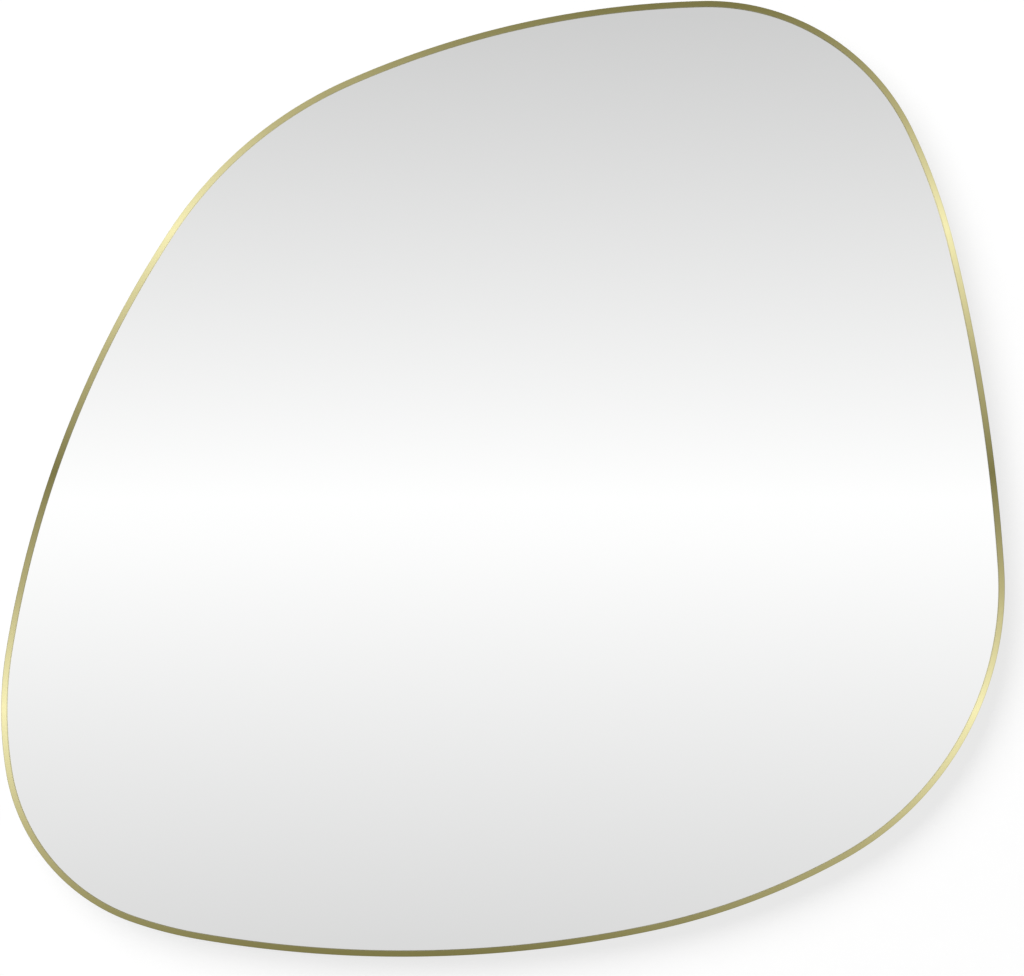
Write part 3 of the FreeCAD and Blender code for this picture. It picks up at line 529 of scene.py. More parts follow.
def speckle():
    """Group of fine and coarse grains in a deeper colour."""
    inputs = {**SURFACED, "Deep colour": (0.2, 0.2, 0.2, 1.0), "Scale": 500.0, "Share": 0.5,
              "Spread": 0.1}
    s, given, made = new_group("Speckle", inputs, "Colour", "Roughness", "Height")
    coarser, fine_share = 0.13, 0.7
    fine = s.clouds(given["Vector"], given["Scale"], 4.0, Roughness=0.65)
    coarse_scale = s.maths("MULTIPLY", given["Scale"], coarser)
    coarse = s.clouds(given["Vector"], coarse_scale, 2.0)
    height = s.maths("ADD", s.maths("MULTIPLY", fine, fine_share),
                     s.maths("MULTIPLY", coarse, 1 - fine_share))
    mask = s.maths("MULTIPLY", s.spread(height, 0.42, 0.62, smooth=True), given["Share"])
    swing = s.maths("SUBTRACT", fine, MIDDLE)
    rough = s.maths("MULTIPLY_ADD", swing, given["Spread"], given["Roughness"])
    grains = s.mixed(mask, given["Colour"], given["Deep colour"])
    finish_outputs(s, made, colour=grains, roughness=rough, height=height)


def brushed_lines():
    """Group of lines in colour, roughness and relief, drawn out by the stretch."""
    inputs = {**SURFACED, "Stretch": (30.0, 6000.0, 6000.0), "Contrast": 0.1, "Spread": 0.1}
    s, given, made = new_group("Brushed lines", inputs, "Colour", "Roughness", "Height")
    stretching = {0: given["Vector"], 1: given["Stretch"]}
    stretched = s.add("VectorMath", stretching, operation="MULTIPLY").outputs[0]
    lines = s.clouds(stretched, 1.0, 3.0, Roughness=0.6)
    swing = s.maths("SUBTRACT", lines, MIDDLE)
    level = s.maths("MULTIPLY_ADD", swing, given["Contrast"], 1.0)
    shade = s.add("CombineXYZ", {0: level, 1: level, 2: level}).outputs[0]
    rough = s.maths("MULTIPLY_ADD", swing, given["Spread"], given["Roughness"])
    lined = s.mixed(1.0, given["Colour"], shade, "MULTIPLY")
    finish_outputs(s, made, colour=lined, roughness=rough, height=lines)


def handling():
    """Group of dust in patches, and smudges that dull the surface."""
    inputs = {**SURFACED, "Dust colour": (0.6, 0.58, 0.55, 1.0), "Scale": 20.0, "Dust": 0.1,
              "Smudges": 0.1}
    s, given, made = new_group("Handling", inputs, "Colour", "Roughness")
    finer = 40.0
    patches = s.clouds(given["Vector"], given["Scale"], 5.0)
    specks = s.clouds(given["Vector"], s.maths("MULTIPLY", given["Scale"], finer), 2.0)
    dusty, specked = s.spread(patches, 0.45, 0.75, smooth=True), s.spread(specks, 0.4, 0.7)
    dust = s.maths("MULTIPLY", s.maths("MULTIPLY", dusty, specked), given["Dust"])
    smudge = s.maths("MULTIPLY", s.spread(patches, 0.4, 0.65, smooth=True), given["Smudges"])
    dusted = s.mixed(dust, given["Colour"], given["Dust colour"])
    dulled = s.maths("ADD", given["Roughness"], smudge)
    finish_outputs(s, made, colour=dusted, roughness=dulled)


def foam_cells():
    """Group of small cells, deeper in their middles, with painted shade there."""
    inputs = {**COLOURED, "Scale": 2500.0, "Depth": 0.5}
    s, given, made = new_group("Foam cells", inputs, "Colour", "Height")
    spacing = {"Vector": given["Vector"], "Scale": given["Scale"]}
    wall = s.spread(s.add("TexVoronoi", spacing).outputs[0], 0.0, 0.7, smooth=True)
    # Painted shade: the colour is darkened towards black in each cell's hollow middle, as shade
    # would fall there.
    painted_pore_shade = s.maths("MULTIPLY", s.maths("SUBTRACT", 1.0, wall), given["Depth"])
    pore_shaded = s.mixed(painted_pore_shade, given["Colour"], (0.0, 0.0, 0.0, 1.0))
    finish_outputs(s, made, colour=pore_shaded, height=wall)


# The effects that several materials share, each built when it is first used
GROUPS = {
    "Speckle": speckle,
    "Brushed lines": brushed_lines,
    "Handling": handling,
    "Foam cells": foam_cells,
}


def metal(name, rgb, roughness, stretch, contrast, dust, tint=None):
    """Plated or bare sheet metal with rolling lines, smudges and a little dust."""
    s = Surface(name, Metallic=1.0)
    base = opaque(rgb)
    if tint is not None:
        clouds = s.clouds(s.place, scale=160.0, detail=3.0)
        base = s.mixed(s.spread(clouds, 0.35, 0.65, smooth=True), base, opaque(tint))
    lines = s.group("Brushed lines", s.place, colour=base, roughness=roughness,
                    stretch=stretch, contrast=contrast, spread=0.18)
    worn = s.group("Handling", s.place, over=lines, scale=45.0, dust=dust, smudges=0.14)
    return s.dress(worn, relief=lines, strength=0.25, depth=0.00002)


def dress_nodes(material, *names):
    """Gives CAD nodes a finished material in their object's own slot."""
    for name in names:
        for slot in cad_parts[name].material_slots:
            slot.link = "OBJECT"
            slot.material = material


def nodes_named(prefix):
    """Names of the CAD nodes that start with a prefix."""
    found = sorted(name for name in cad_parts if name.startswith(prefix))
    if not found:
        raise RuntimeError(f"the packed model has no node that starts with {prefix}")
    return found


# ---------------------------------------------------------------- the pieces


class MIRROR_OT_gold_band(bpy.types.Operator):
    """Band of L section round the outline, in satin gold"""

    bl_idname = "mirror.gold_band"
    bl_label = "Gold band"
    bl_options = {"REGISTER", "UNDO"}

    # Heights of the painted reflection bands, where the plating's colour is painted dark, light,
    # dark, light and dark, from the bottom up
    PAINTED_SHEEN_HEIGHTS = (-0.398, -0.1925, 0.0055, 0.2085, 0.396)
    # The outer side and the edge beside the glass stay this far inside the CAD's.
    WITHIN = 0.00005

    def execute(self, context):
        looks = context.scene.mirror_band
        low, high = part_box("frame_band")
        front, rear = -low.y, -high.y
        outer, inner = self.WITHIN, looks.lip - self.WITHIN
        behind_lip = front - looks.lip_thickness
        corners = [
            Corner(outer, rear, looks.rear_round),
            Corner(outer, front, looks.outer_round),
            Corner(inner, front, looks.inner_round),
            Corner(inner, behind_lip, looks.rear_round),
            Corner(looks.wall, behind_lip, looks.rear_round),
            Corner(looks.wall, rear, looks.rear_round),
        ]
        rail, around = outline_rail(context.scene.mirror_outline)
        mesh = swept_mesh("gold_band", rail, around, rounded_section(corners))
        piece = new_piece("gold_band", mesh, "framed_mirror", "gold_band", self.gold(looks))
        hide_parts("frame_band")
        return {"FINISHED"}

    def gold(self, looks):
        """Satin gold with a painted reflection: its colour runs from dark to light and back, twice
        over the height.
        """
        s = Surface("satin_gold", Metallic=1.0)
        height = s.add("SeparateXYZ", {0: s.place}).outputs["Z"]
        stops = [(self.PAINTED_SHEEN_HEIGHTS[0], looks.painted_shade_gold)]
        tones = (looks.painted_highlight_gold, looks.painted_shade_gold) * 2
        for here, ahead, tone in zip(self.PAINTED_SHEEN_HEIGHTS, self.PAINTED_SHEEN_HEIGHTS[1:], tones):
            stops += [((here + ahead) / 2, looks.painted_half_sheen_gold), (ahead, tone)]
        # Painted reflection: bands of light and dark gold by height stand in for the studio
        # reflected in the plating.
        gold = s.ramp(height, stops)
        along = s.add("UVMap", uv_map="along").outputs[0]
        lines = s.group("Brushed lines", along, colour=gold, roughness=looks.roughness,
                        stretch=(60.0, 9000.0, 1.0), contrast=0.10, spread=0.16)
        worn = s.group("Handling", s.place, over=lines, scale=22.0, dust=0.015, smudges=0.06)
        return s.dress(worn, relief=lines, strength=0.12, depth=0.00001)


class MIRROR_OT_mirror_pane(bpy.types.Operator):
    """Pane of silvered glass with ground edges"""

    bl_idname = "mirror.mirror_pane"
    bl_label = "Mirror pane"
    bl_options = {"REGISTER", "UNDO"}

    SILVER, EDGE, PAINT = range(3)

    def execute(self, context):
        looks = context.scene.mirror_pane
        low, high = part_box("mirror_glass")
        front, rear = -low.y, -high.y
        rail, _ = outline_rail(context.scene.mirror_outline)
        bm = bmesh.new()
        rings = [
            [bm.verts.new((p.x - out.x * inset, -depth, p.z - out.z * inset)) for p, out, _ in rail]
            for inset, depth in (
                (looks.inset + looks.bevel, front),
                (looks.inset, front - looks.bevel),
                (looks.inset, rear + looks.bevel),
                (looks.inset + looks.bevel, rear),
            )
        ]
        for ahead, behind in zip(rings, rings[1:]):
            for i in range(len(rail)):
                k = (i + 1) % len(rail)
                side = bm.faces.new((behind[i], behind[k], ahead[k], ahead[i]))
                side.material_index = self.EDGE
        bm.faces.new(rings[0]).material_index = self.SILVER
        bm.faces.new(reversed(rings[-1])).material_index = self.PAINT
        mesh = mesh_from(bm, "mirror_pane")
        materials = self.silver(looks), self.ground_edge(looks), self.back_paint(looks)
        piece = new_piece("mirror_pane", mesh, "framed_mirror", "mirror_glass", *materials)
        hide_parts("mirror_glass")
        return {"FINISHED"}

    def silver(self, looks):
        """Silvering seen through clear glass, with the faintest trace of wiping."""
        s = Surface("silvered_glass", Metallic=1.0)
        wiped = s.group("Handling", s.place, colour=opaque(looks.silver), roughness=0.0,
                        scale=6.0, dust=0.004, smudges=0.012)
        return s.dress(wiped)

    def ground_edge(self, looks):
        """Ground glass, greenish and dull."""
        s = Surface("ground_glass_edge", Coat_Weight=0.3)
        grain = s.group("Speckle", s.place, colour=opaque(looks.edge), roughness=0.45,
                        deep_colour=(0.20, 0.33, 0.28, 1), scale=1800.0, share=0.6)
        return s.dress(grain, relief=grain)

    def back_paint(self, looks):
        """Grey protective paint over the silvering."""
        s = Surface("mirror_back_paint")
        grain = s.group("Speckle", s.place, colour=opaque(looks.backing), roughness=0.5,
                        deep_colour=(0.14, 0.16, 0.18, 1), scale=700.0, share=0.5)
        return s.dress(grain, relief=grain, strength=0.2)


class MIRROR_OT_soft_layers(bpy.types.Operator):
    """Gasket, safety film and bonding tapes between the glass and the board"""

    bl_idname = "mirror.soft_layers"
    bl_label = "Soft layers"
    bl_options = {"REGISTER", "UNDO"}

    def execute(self, context):
        looks = context.scene.mirror_back
        for name, rgb, nodes in (
            ("black_gasket_foam", looks.gasket, ["glass_gasket"]),
            ("white_tape_foam", looks.foam, nodes_named("bonding_tape_")),
        ):
            s = Surface(name, Roughness=0.9)
            cells = s.group("Foam cells", s.place, colour=opaque(rgb))
            dress_nodes(s.dress(cells, relief=cells, strength=0.6, depth=0.0002), *nodes)
        s = Surface("safety_film", Coat_Weight=0.4)
        weave = s.group("Brushed lines", s.place, colour=opaque(looks.film), roughness=0.35,
                        stretch=(1500.0, 1500.0, 8.0), contrast=0.25, spread=0.1)
        worn = s.group("Handling", s.place, over=weave, scale=12.0, dust=0.2)
        dress_nodes(s.dress(worn, relief=weave, strength=0.2), "safety_film")
        return {"FINISHED"}


class MIRROR_OT_backing_board(bpy.types.Operator):
    """Fibreboard behind the glass"""

    bl_idname = "mirror.backing_board"
    bl_label = "Backing board"
    bl_options = {"REGISTER", "UNDO"}

    PALE = (0.58, 0.43, 0.28, 1)
    FIBRE_WIDTH = 0.022  # As a share of the noise's swing

    def execute(self, context):
        looks = context.scene.mirror_back
        s = Surface("brown_fibreboard", Specular_IOR_Level=0.3)
        face, dark = opaque(looks.fibre), opaque(looks.fibre_dark)
        clouds = s.clouds(s.place, scale=7.0, detail=4.0)
        base = s.mixed(s.spread(clouds, 0.3, 0.7, to_high=0.28), face, dark)
        side = s.add("SeparateXYZ", {0: s.add("NewGeometry").outputs["Normal"]}).outputs["Y"]
        cut = s.spread(s.maths("ABSOLUTE", side), 0.3, 0.7, to_low=0.75, to_high=0.0)
        base = s.mixed(cut, base, dark)
        for tone, scale, strength in ((dark, 420.0, 0.45), (self.PALE, 610.0, 0.35)):
            mask = s.maths("MULTIPLY", self.fibres(s, scale), strength)
            base = s.mixed(mask, base, tone)
        fibres = s.group("Speckle", s.place, colour=base, deep_colour=dark, roughness=0.72,
                         scale=2600.0, share=0.30, spread=0.2)
        worn = s.group("Handling", s.place, over=fibres, dust_colour=(0.56, 0.46, 0.34, 1),
                       scale=5.0, dust=0.12, smudges=0.05)
        board = s.dress(worn, relief=fibres, strength=0.5, depth=0.00015)
        dress_nodes(board, "backing_board")
        return {"FINISHED"}

    def fibres(self, s, scale):
        """Mask of thin crossing fibres, where a noise passes its middle."""
        wander = s.clouds(s.place, scale, detail=2.0, Roughness=0.4, Distortion=1.5)
        off_middle = s.maths("ABSOLUTE", s.maths("SUBTRACT", wander, MIDDLE))
        return s.spread(off_middle, 0.0, self.FIBRE_WIDTH, to_low=1.0, to_high=0.0)


class MIRROR_OT_frame_tabs(bpy.types.Operator):
    """Steel tabs with the weld beads that hold them to the band"""

    bl_idname = "mirror.frame_tabs"
    bl_label = "Frame tabs"
    bl_options = {"REGISTER", "UNDO"}

    # In bead radii: from a bead's middle to the side wall, and the tab's depth less the bead's
    STAND_OFF, SHORTER = 0.6, 3.2
    RINGS, SPOKES = 26, 14
    # How square a bead's taper is, the size of its ends, and its ripples and wobble
    BLUNTNESS, END_SIZE = 6, 0.08
    RIPPLES, RIPPLE, WOBBLE = 13, 0.10, 0.12
    # How fast the wobble changes per metre across the mirror and from ring to ring
    WOBBLE_ACROSS, WOBBLE_ALONG = 900, 0.35

    def execute(self, context):
        scene = context.scene
        looks = scene.mirror_hardware
        steel = metal("sheet_steel", looks.steel, roughness=0.42, stretch=(900.0, 900.0, 40.0),
                      contrast=0.2, dust=0.12)
        tabs = nodes_named("tab_")
        dress_nodes(steel, *tabs)
        bends = {bend.name: bend for bend in outline_bends(scene.mirror_outline)}
        bm = bmesh.new()
        for tab in tabs:
            bend = bends[tab.removeprefix("tab_")]
            self.beads(bm, bend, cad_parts[tab].data, scene)
        mesh = mesh_from(bm, "tab_welds")
        new_piece("tab_welds", mesh, "framed_mirror", "welded_tab", self.weld(looks))
        return {"FINISHED"}

    def beads(self, bm, bend, tab, scene):
        """A bead down each side of a tab's leg, between it and the band."""
        outward = outward_at(bend.heading + bend.sweep / 2)
        along = outward.cross(Vector((0, 1, 0)))
        middle = bend.centre + outward * bend.radius
        offsets = [(vert.co - middle).dot(along) for vert in tab.vertices]
        depths = [vert.co.y for vert in tab.vertices]
        front, rear = min(depths), max(depths)
        radius = scene.mirror_hardware.bead_radius
        reach = bend.radius - (scene.mirror_band.wall + self.STAND_OFF * radius)
        for edge in (min(offsets), max(offsets)):
            way = Matrix.Rotation(-edge / reach, 3, "Y") @ outward
            start = bend.centre + way * reach
            start.y = front + radius
            self.bead(bm, start, rear - front - self.SHORTER * radius, radius)

    def bead(self, bm, start, run, radius):
        """Rippled bead that starts at a point and runs towards the wall."""
        rings = []
        for i in range(self.RINGS):
            t = i / (self.RINGS - 1)
            full = math.sqrt(max(0.0, 1 - (2 * t - 1) ** self.BLUNTNESS))
            taper = full * (1 - self.END_SIZE) + self.END_SIZE
            ripple = 1 + self.RIPPLE * math.sin(t * math.pi * self.RIPPLES)
            ring = []
            for k in range(self.SPOKES):
                angle = math.tau * k / self.SPOKES
                spot = Vector((start.x * self.WOBBLE_ACROSS, i * self.WOBBLE_ALONG, angle))
                size = radius * taper * ripple * (1 + self.WOBBLE * noise.noise(spot))
                across, rise = size * math.cos(angle), size * math.sin(angle)
                ring.append(bm.verts.new((start.x + across, start.y + run * t, start.z + rise)))
            rings.append(ring)
        close_rings(bm, rings)

    def weld(self, looks):
        """Weld metal, dull and slightly browned by the heat."""
        s = Surface("weld_bead", Metallic=1.0)
        heat = s.spread(s.clouds(s.place, scale=300.0, detail=3.0), 0.4, 0.6)
        base = s.mixed(heat, opaque(looks.weld), (0.36, 0.25, 0.15, 1))
        grain = s.group("Speckle", s.place, colour=base, deep_colour=(0.12, 0.11, 0.10, 1),
                        roughness=0.5, scale=2500.0, share=0.5, spread=0.3)
        return s.dress(grain, relief=grain, strength=0.6)


class MIRROR_OT_hangers(bpy.types.Operator):
    """Zinc-plated straps and the wire rings that swing in them"""

    bl_idname = "mirror.hangers"
    bl_label = "Hangers"
    bl_options = {"REGISTER", "UNDO"}

    def execute(self, context):
        zinc = context.scene.mirror_hardware.zinc
        strap = metal("bright_zinc_sheet", zinc, roughness=0.34, stretch=(700.0, 700.0, 60.0),
                      contrast=0.16, dust=0.08, tint=(0.60, 0.63, 0.70))
        wire = metal("bright_zinc_wire", zinc, roughness=0.28, stretch=(120.0, 900.0, 900.0),
                     contrast=0.14, dust=0.06, tint=(0.70, 0.69, 0.64))
        dress_nodes(strap, *nodes_named("hanger_strap_"))
        dress_nodes(wire, *nodes_named("hanger_ring_"))
        return {"FINISHED"}


class MIRROR_OT_board_screws(bpy.types.Operator):
    """Pan-head wood screws that hold the tabs and straps to the board"""

    bl_idname = "mirror.board_screws"
    bl_label = "Board screws"
    bl_options = {"REGISTER", "UNDO"}

    TURN_APART = 0.9  # Each screw's cross is turned this much further than the last one's.
    SPOKES, DOME_RINGS, THREAD_RINGS = 36, 10, 66
    # The head: shares of its radius, shares of its height, and how full its dome is
    FIRST_RING, FLAT, UNDERSIDE = 0.3, 0.60, 0.97
    DOME, RIM, FULLNESS = 0.55, 0.12, 0.9
    # The shank: shares of its radius over the thread, and its plain neck in metres
    NECK, ROOT, TIP, RIDGE_STEEPNESS = 0.8, 0.72, 0.03, 5
    NECK_LENGTH = 0.0012
    # The cross recess in metres, and its size at the bottom as shares of that at the top
    REACH, HALF_WIDTH, DEPTH, OVERCUT = 0.0019, 0.00042, 0.0013, 0.0002
    BOTTOM_REACH, BOTTOM_WIDTH = 0.45, 0.55

    def execute(self, context):
        looks = context.scene.mirror_hardware
        screw = self.screw(looks)
        bm = bmesh.new()
        for i, (low, high) in enumerate(node_islands("board_screws")):
            middle = (low + high) / 2
            seat = Vector((middle.x, high.y - looks.head_height, middle.z))
            turn = Matrix.Rotation(i * self.TURN_APART, 4, "Y")
            stand = Matrix.Translation(seat) @ turn @ Matrix.Rotation(-math.pi / 2, 4, "X")
            copy = screw.copy()
            copy.transform(stand)
            bm.from_mesh(copy)
            bpy.data.meshes.remove(copy)
        bpy.data.meshes.remove(screw)
        mesh = mesh_from(bm, "pan_head_screws")
        material = metal("yellow_zinc", looks.yellow_zinc, roughness=0.30, contrast=0.10,
                         stretch=(900.0, 900.0, 900.0), dust=0.10, tint=(0.62, 0.62, 0.50))
        piece = new_piece("pan_head_screws", mesh, "framed_mirror", "zinc_screw", material)
        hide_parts("board_screws")
        return {"FINISHED"}

    def screw(self, looks):
        """One screw, its head's underside at the origin and its head up."""
        body, cutter = self.turned(looks), self.cross(looks)
        piece, tool = linked("screw_blank", body), linked("screw_cutter", cutter)
        cut = piece.modifiers.new("cross", "BOOLEAN")
        cut.operation, cut.object, cut.solver = "DIFFERENCE", tool, "EXACT"
        bpy.context.view_layer.update()
        evaluated = piece.evaluated_get(bpy.context.evaluated_depsgraph_get())
        mesh = bpy.data.meshes.new_from_object(evaluated)
        for thing, data in ((piece, body), (tool, cutter)):
            bpy.data.objects.remove(thing)
            bpy.data.meshes.remove(data)
        if len(mesh.polygons) < self.SPOKES:
            raise RuntimeError("the screw's cross recess could not be cut")
        return mesh

    def turned(self, looks):
        """Head and threaded shank as rings round the screw's axis."""
        head, tall, shank = looks.head_radius, looks.head_height, looks.shank_radius
        profile = [(head * self.FIRST_RING, tall)]
        dome = self.DOME * tall
        for i in range(self.DOME_RINGS):
            angle = math.pi / 2 * (1 - i / (self.DOME_RINGS - 1))
            across = head * self.FLAT + head * (1 - self.FLAT) * math.cos(angle)
            profile.append((across, tall - dome + dome * math.sin(angle) ** self.FULLNESS))
        neck, neck_end, floor = shank * self.NECK, -self.NECK_LENGTH, -looks.shank_length
        profile += [(head, self.RIM * tall), (head * self.UNDERSIDE, 0.0)]
        profile += [(neck, 0.0), (neck, neck_end)]
        rows = [(across, across, height) for across, height in profile]
        for i in range(self.THREAD_RINGS + 1):
            height = neck_end + (floor - neck_end) * i / self.THREAD_RINGS
            taper = min(1.0, (height - floor) / looks.point_length + self.TIP)
            rows.append((shank * self.ROOT * taper, shank * taper, height))
        bm = bmesh.new()
        rings = []
        for root, crest, height in rows:
            ring = []
            for k in range(self.SPOKES):
                turn = k / self.SPOKES
                off_crest = abs((height / looks.thread_pitch - turn) % 1 - 0.5)
                size = root + (crest - root) * max(0.0, 1 - off_crest * self.RIDGE_STEEPNESS)
                angle = math.tau * turn
                ring.append(bm.verts.new((size * math.cos(angle), size * math.sin(angle), height)))
            rings.append(ring)
        close_rings(bm, rings)
        return mesh_from(bm, "screw_blank")

    def cross(self, looks):
        """Tapered cross that cuts the recess."""
        top, bottom = looks.head_height + self.OVERCUT, looks.head_height - self.DEPTH
        bm = bmesh.new()
        loops = []
        for height, reach, half in (
            (top, self.REACH, self.HALF_WIDTH),
            (bottom, self.REACH * self.BOTTOM_REACH, self.HALF_WIDTH * self.BOTTOM_WIDTH),
        ):
            loop = []
            for quarter in range(4):
                turn = Matrix.Rotation(quarter * math.pi / 2, 3, "Z")
                for corner in ((half, half, 0), (reach, half, 0), (reach, -half, 0)):
                    place = turn.inverted() @ Vector(corner)
                    loop.append(bm.verts.new((place.x, place.y, height)))
            loops.append(loop)
        upper, lower = loops
        for k in range(len(upper)):
            n = (k + 1) % len(upper)
            bm.faces.new((upper[k], upper[n], lower[n], lower[k]))
        bm.faces.new(reversed(upper))
        bm.faces.new(lower)
        bmesh.ops.recalc_face_normals(bm, faces=bm.faces)
        mesh = bpy.data.meshes.new("screw_cutter")
        bm.to_mesh(mesh)
        bm.free()
        return mesh


class MIRROR_OT_wall_bumpers(bpy.types.Operator):
    """Rubber feet that keep the band clear of the wall"""

    bl_idname = "mirror.wall_bumpers"
    bl_label = "Wall bumpers"
    bl_options = {"REGISTER", "UNDO"}

    def execute(self, context):
        s = Surface("black_rubber", Specular_IOR_Level=0.4)
        rubber = opaque(context.scene.mirror_back.rubber)
        grain = s.group("Speckle", s.place, colour=rubber, deep_colour=(0.010, 0.010, 0.011, 1),
                        roughness=0.62, scale=2200.0, share=0.5)
        worn = s.group("Handling", s.place, over=grain, scale=60.0, dust=0.12, smudges=0.12)
        material = s.dress(worn, relief=grain, strength=0.4, depth=0.00006)
        dress_nodes(material, *nodes_named("bumper_"))
        return {"FINISHED"}


# ---------------------------------------------------------------- the stage


class MIRROR_OT_stage(bpy.types.Operator):
    """White wall, pale floor, soft studio light and the camera"""

    bl_idname = "mirror.stage"
    bl_label = "Stage"
    bl_options = {"REGISTER", "UNDO"}

    # How light the studio looks in a reflection, where 1 is white: in front of the wall by the
    # ray's rise and by its run to the side, and all round by its rise
    FRONT_TONES = (
        (-0.5, 1.03), (-0.30, 1.13), (-0.21, 1.12), (-0.18, 0.90), (-0.153, 0.857), (-0.017, 0.999),
        (-0.004, 1.007), (0.003, 0.999), (0.158, 0.809), (0.185, 0.87), (0.22, 1.12), (0.30, 1.13),
        (0.5, 1.03),
    )
    SIDE_TONES = ((0.172, 0.0), (0.215, 1.12), (0.5, 1.03))
    ROUND_TONES = ((-1.0, 0.92), (-0.25, 0.86), (0.0, 0.64), (0.25, 0.87), (1.0, 1.0))
    FRONT_EDGE = (0.86, 0.93)  # Forward run of the ray over which the front's tones come in
    BRIGHTEST = 1.2
    DISPLAY_POWER = 2.25

    # Place of each panel and its width, in lamp distances
    KEY_PLACE, KEY_WIDTH = Vector((-1.033, -1.0, 1.063)), 1.8
    BACK_PLACE, BACK_WIDTH = Vector((0.45, 1.0, 0.65)), 1.4

    # The backdrop in metres: to either side, in front of the wall, up, and behind the wall plane
    HALF_WIDTH, REACH, TOP, BEHIND = 1.2, 1.5, 0.9, 0.0002
    COVE_STEPS = 24
    GRAIN_SHADE = 0.98

    def execute(self, context):
        scene = context.scene
        looks = scene.mirror_stage
        scene.view_settings.view_transform = "Standard"
        self.backdrop(looks)
        self.world(scene, looks)
        distance = looks.lamp_distance
        self.panel("key_light", self.KEY_PLACE * distance, self.KEY_WIDTH, looks.key_power)
        self.panel("back_light", self.BACK_PLACE * distance, self.BACK_WIDTH, looks.back_power)
        self.camera(scene, looks)
        return {"FINISHED"}

    def backdrop(self, looks):
        """Wall and floor in one sweep, seen by the camera alone."""
        floor, cove, wall, half = -looks.floor_drop, looks.cove_radius, self.BEHIND, self.HALF_WIDTH
        profile = [(-self.REACH, floor)]
        for i in range(self.COVE_STEPS + 1):
            angle = math.pi / 2 * i / self.COVE_STEPS
            depth, rise = cove * math.sin(angle), cove * math.cos(angle)
            profile.append((wall - cove + depth, floor + cove - rise))
        profile.append((wall, self.TOP))
        bm = bmesh.new()
        left, right = ([bm.verts.new((x, y, z)) for y, z in profile] for x in (-half, half))
        for k in range(len(profile) - 1):
            bm.faces.new((left[k], right[k], right[k + 1], left[k + 1]))
        mesh = mesh_from(bm, "backdrop")
        piece = linked("backdrop", mesh)
        mesh.materials.append(self.backdrop_material(looks))
        for kind in ("diffuse", "glossy", "transmission", "shadow"):
            setattr(piece, f"visible_{kind}", False)

    def backdrop_material(self, looks):
        """Pale paint that glows a little for the camera and is clear from behind."""
        s = Surface("backdrop_paint", Roughness=0.9, Specular_IOR_Level=0.0, Emission_Color=WHITE)
        grey = looks.backdrop_grey
        grain = s.group("Speckle", s.place, colour=opaque([grey] * 3), roughness=0.9,
                        deep_colour=opaque([grey * self.GRAIN_SHADE] * 3), scale=40.0, share=1.0)
        s.put(grain.outputs["Colour"], s.shader.inputs["Base Color"])
        camera = s.add("LightPath").outputs["Is Camera Ray"]
        glow = s.maths("MULTIPLY", camera, looks.backdrop_glow)
        s.put(glow, s.shader.inputs["Emission Strength"])
        behind = s.add("NewGeometry").outputs["Backfacing"]
        clear = s.add("BsdfTransparent").outputs[0]
        either = s.add("MixShader", {0: behind, 1: s.shader.outputs[0], 2: clear})
        s.put(either.outputs[0], s.tree.nodes["Material Output"].inputs[0])
        return s.material

    def world(self, scene, looks):
        """White for the camera, a graded studio for gloss and an even fill for all else."""
        world = bpy.data.worlds.new("studio")
        scene.world = world
        world.use_nodes = True
        world.cycles.sampling_method = "NONE"
        s = Shading(world.node_tree)
        s.tree.nodes.remove(s.tree.nodes["Background"])
        way = s.add("SeparateXYZ", {0: s.add("TexCoord").outputs["Generated"]}).outputs
        aside = s.maths("ABSOLUTE", way["X"])
        front = s.maths("MAXIMUM", self.tones(s, way["Z"], self.FRONT_TONES),
                        self.tones(s, aside, self.SIDE_TONES))
        around = self.tones(s, way["Z"], self.ROUND_TONES)
        forward = s.spread(s.maths("MULTIPLY", way["Y"], -1.0), *self.FRONT_EDGE, smooth=True)
        tone = s.maths("MULTIPLY", s.mixed(forward, around, front), self.BRIGHTEST)
        light = s.maths("POWER", tone, self.DISPLAY_POWER)
        studio, white, fill = (
            s.add("Background", {"Color": WHITE, "Strength": strength}).outputs[0]
            for strength in (light, 1.0, looks.fill)
        )
        rays = s.add("LightPath").outputs
        mirrored = s.maths("MAXIMUM", rays["Is Glossy Ray"], rays["Is Transmission Ray"])
        # Light that a matt surface gets by way of a metal one is the even fill too.
        direct = s.maths("LESS_THAN", rays["Diffuse Depth"], 0.5)
        gloss = s.maths("MULTIPLY", mirrored, direct)
        unseen = s.add("MixShader", {0: gloss, 1: fill, 2: studio}).outputs[0]
        seen = s.add("MixShader", {0: rays["Is Camera Ray"], 1: unseen, 2: white}).outputs[0]
        s.put(seen, s.tree.nodes["World Output"].inputs[0])

    def tones(self, s, value, stops):
        """Ramp through tones by a part of the ray's direction, as shares of the brightest."""
        return s.ramp(value, [(place, [tone / self.BRIGHTEST] * 3) for place, tone in stops])

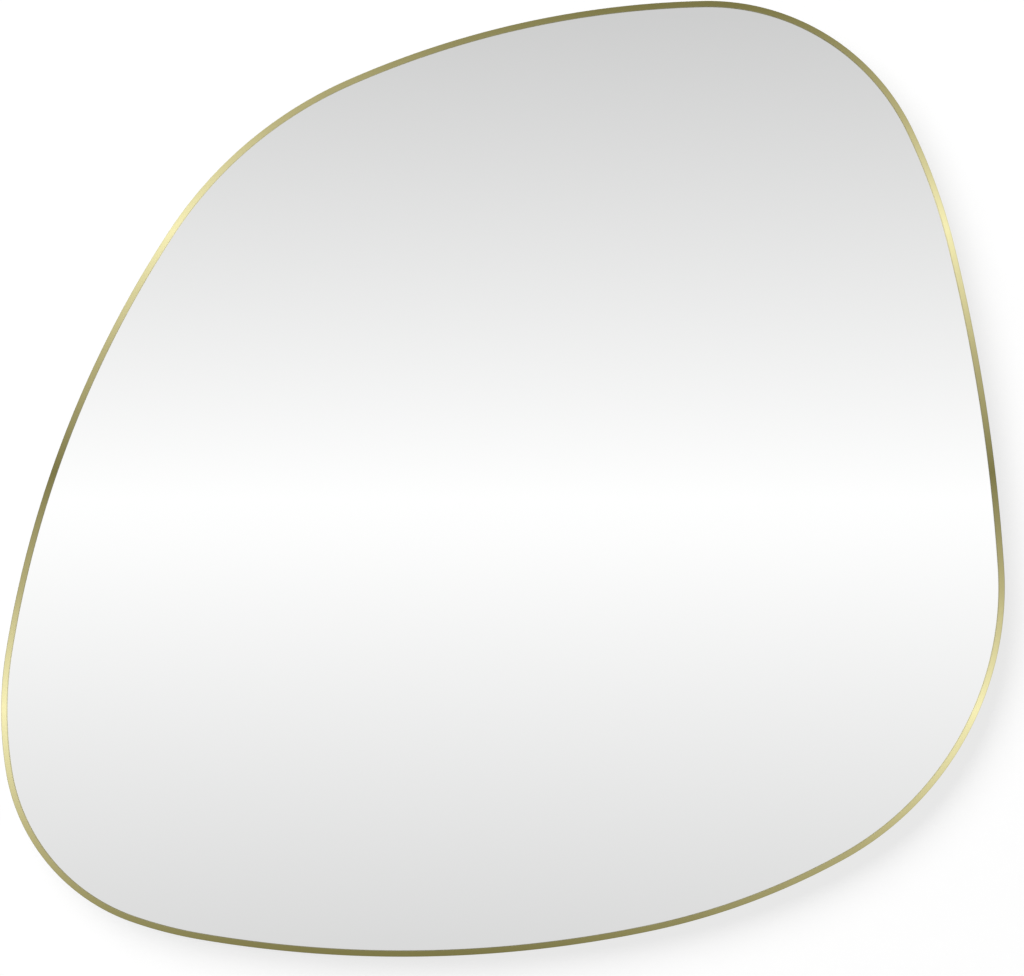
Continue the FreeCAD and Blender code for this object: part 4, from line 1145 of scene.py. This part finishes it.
    def panel(self, name, place, width, power):
        """Round panel of light that stands parallel to the wall and shows in no reflection."""
        light = bpy.data.lights.new(name, "AREA")
        light.shape, light.size, light.energy = "DISK", width * abs(place.y), power
        lamp = linked(name, light)
        lamp.location = place
        lamp.rotation_euler = (math.copysign(math.pi / 2, -place.y), 0, 0)
        lamp.visible_camera = lamp.visible_glossy = False

    def camera(self, scene, looks):
        """Camera straight in front, with the lens that gives the view its width."""
        data = bpy.data.cameras.new("camera")
        camera = scene.camera = linked("camera", data)
        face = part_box("frame_band")[0].y
        data.lens = data.sensor_width * looks.camera_distance / looks.view_width
        camera.location = (looks.view_across, face - looks.camera_distance, looks.view_up)
        camera.rotation_euler = (math.pi / 2, 0, 0)


# ---------------------------------------------------------------- the add-on


STEPS = (
    MIRROR_OT_gold_band,
    MIRROR_OT_mirror_pane,
    MIRROR_OT_soft_layers,
    MIRROR_OT_backing_board,
    MIRROR_OT_frame_tabs,
    MIRROR_OT_hangers,
    MIRROR_OT_board_screws,
    MIRROR_OT_wall_bumpers,
    MIRROR_OT_stage,
)


class MIRROR_PT_pieces(bpy.types.Panel):
    """Lists the mirror's pieces and their sizes and colours"""

    bl_idname = "MIRROR_PT_pieces"
    bl_label = "Irregular Wall Mirror"
    bl_space_type = "VIEW_3D"
    bl_region_type = "UI"
    bl_category = "Mirror"

    def draw(self, context):
        for step in STEPS:
            self.layout.operator(step.bl_idname)
        for name, group in LOOKS.items():
            box = self.layout.box()
            box.label(text=group.__doc__)
            for key in group.__annotations__:
                box.prop(getattr(context.scene, name), key)


CLASSES = (*LOOKS.values(), *STEPS, MIRROR_PT_pieces)


def register():
    """Registers the classes and hangs the sizes and colours on the scene."""
    for cls in CLASSES:
        bpy.utils.register_class(cls)
    for name, group in LOOKS.items():
        setattr(bpy.types.Scene, name, PointerProperty(type=group))


def unregister():
    """Takes them off again."""
    for name in LOOKS:
        delattr(bpy.types.Scene, name)
    for cls in reversed(CLASSES):
        bpy.utils.unregister_class(cls)


def main():
    """Builds every piece and the stage."""
    register()
    for step in STEPS:
        area, name = step.bl_idname.split(".")
        getattr(getattr(bpy.ops, area), name)()


if __name__ == "__main__":
    main()
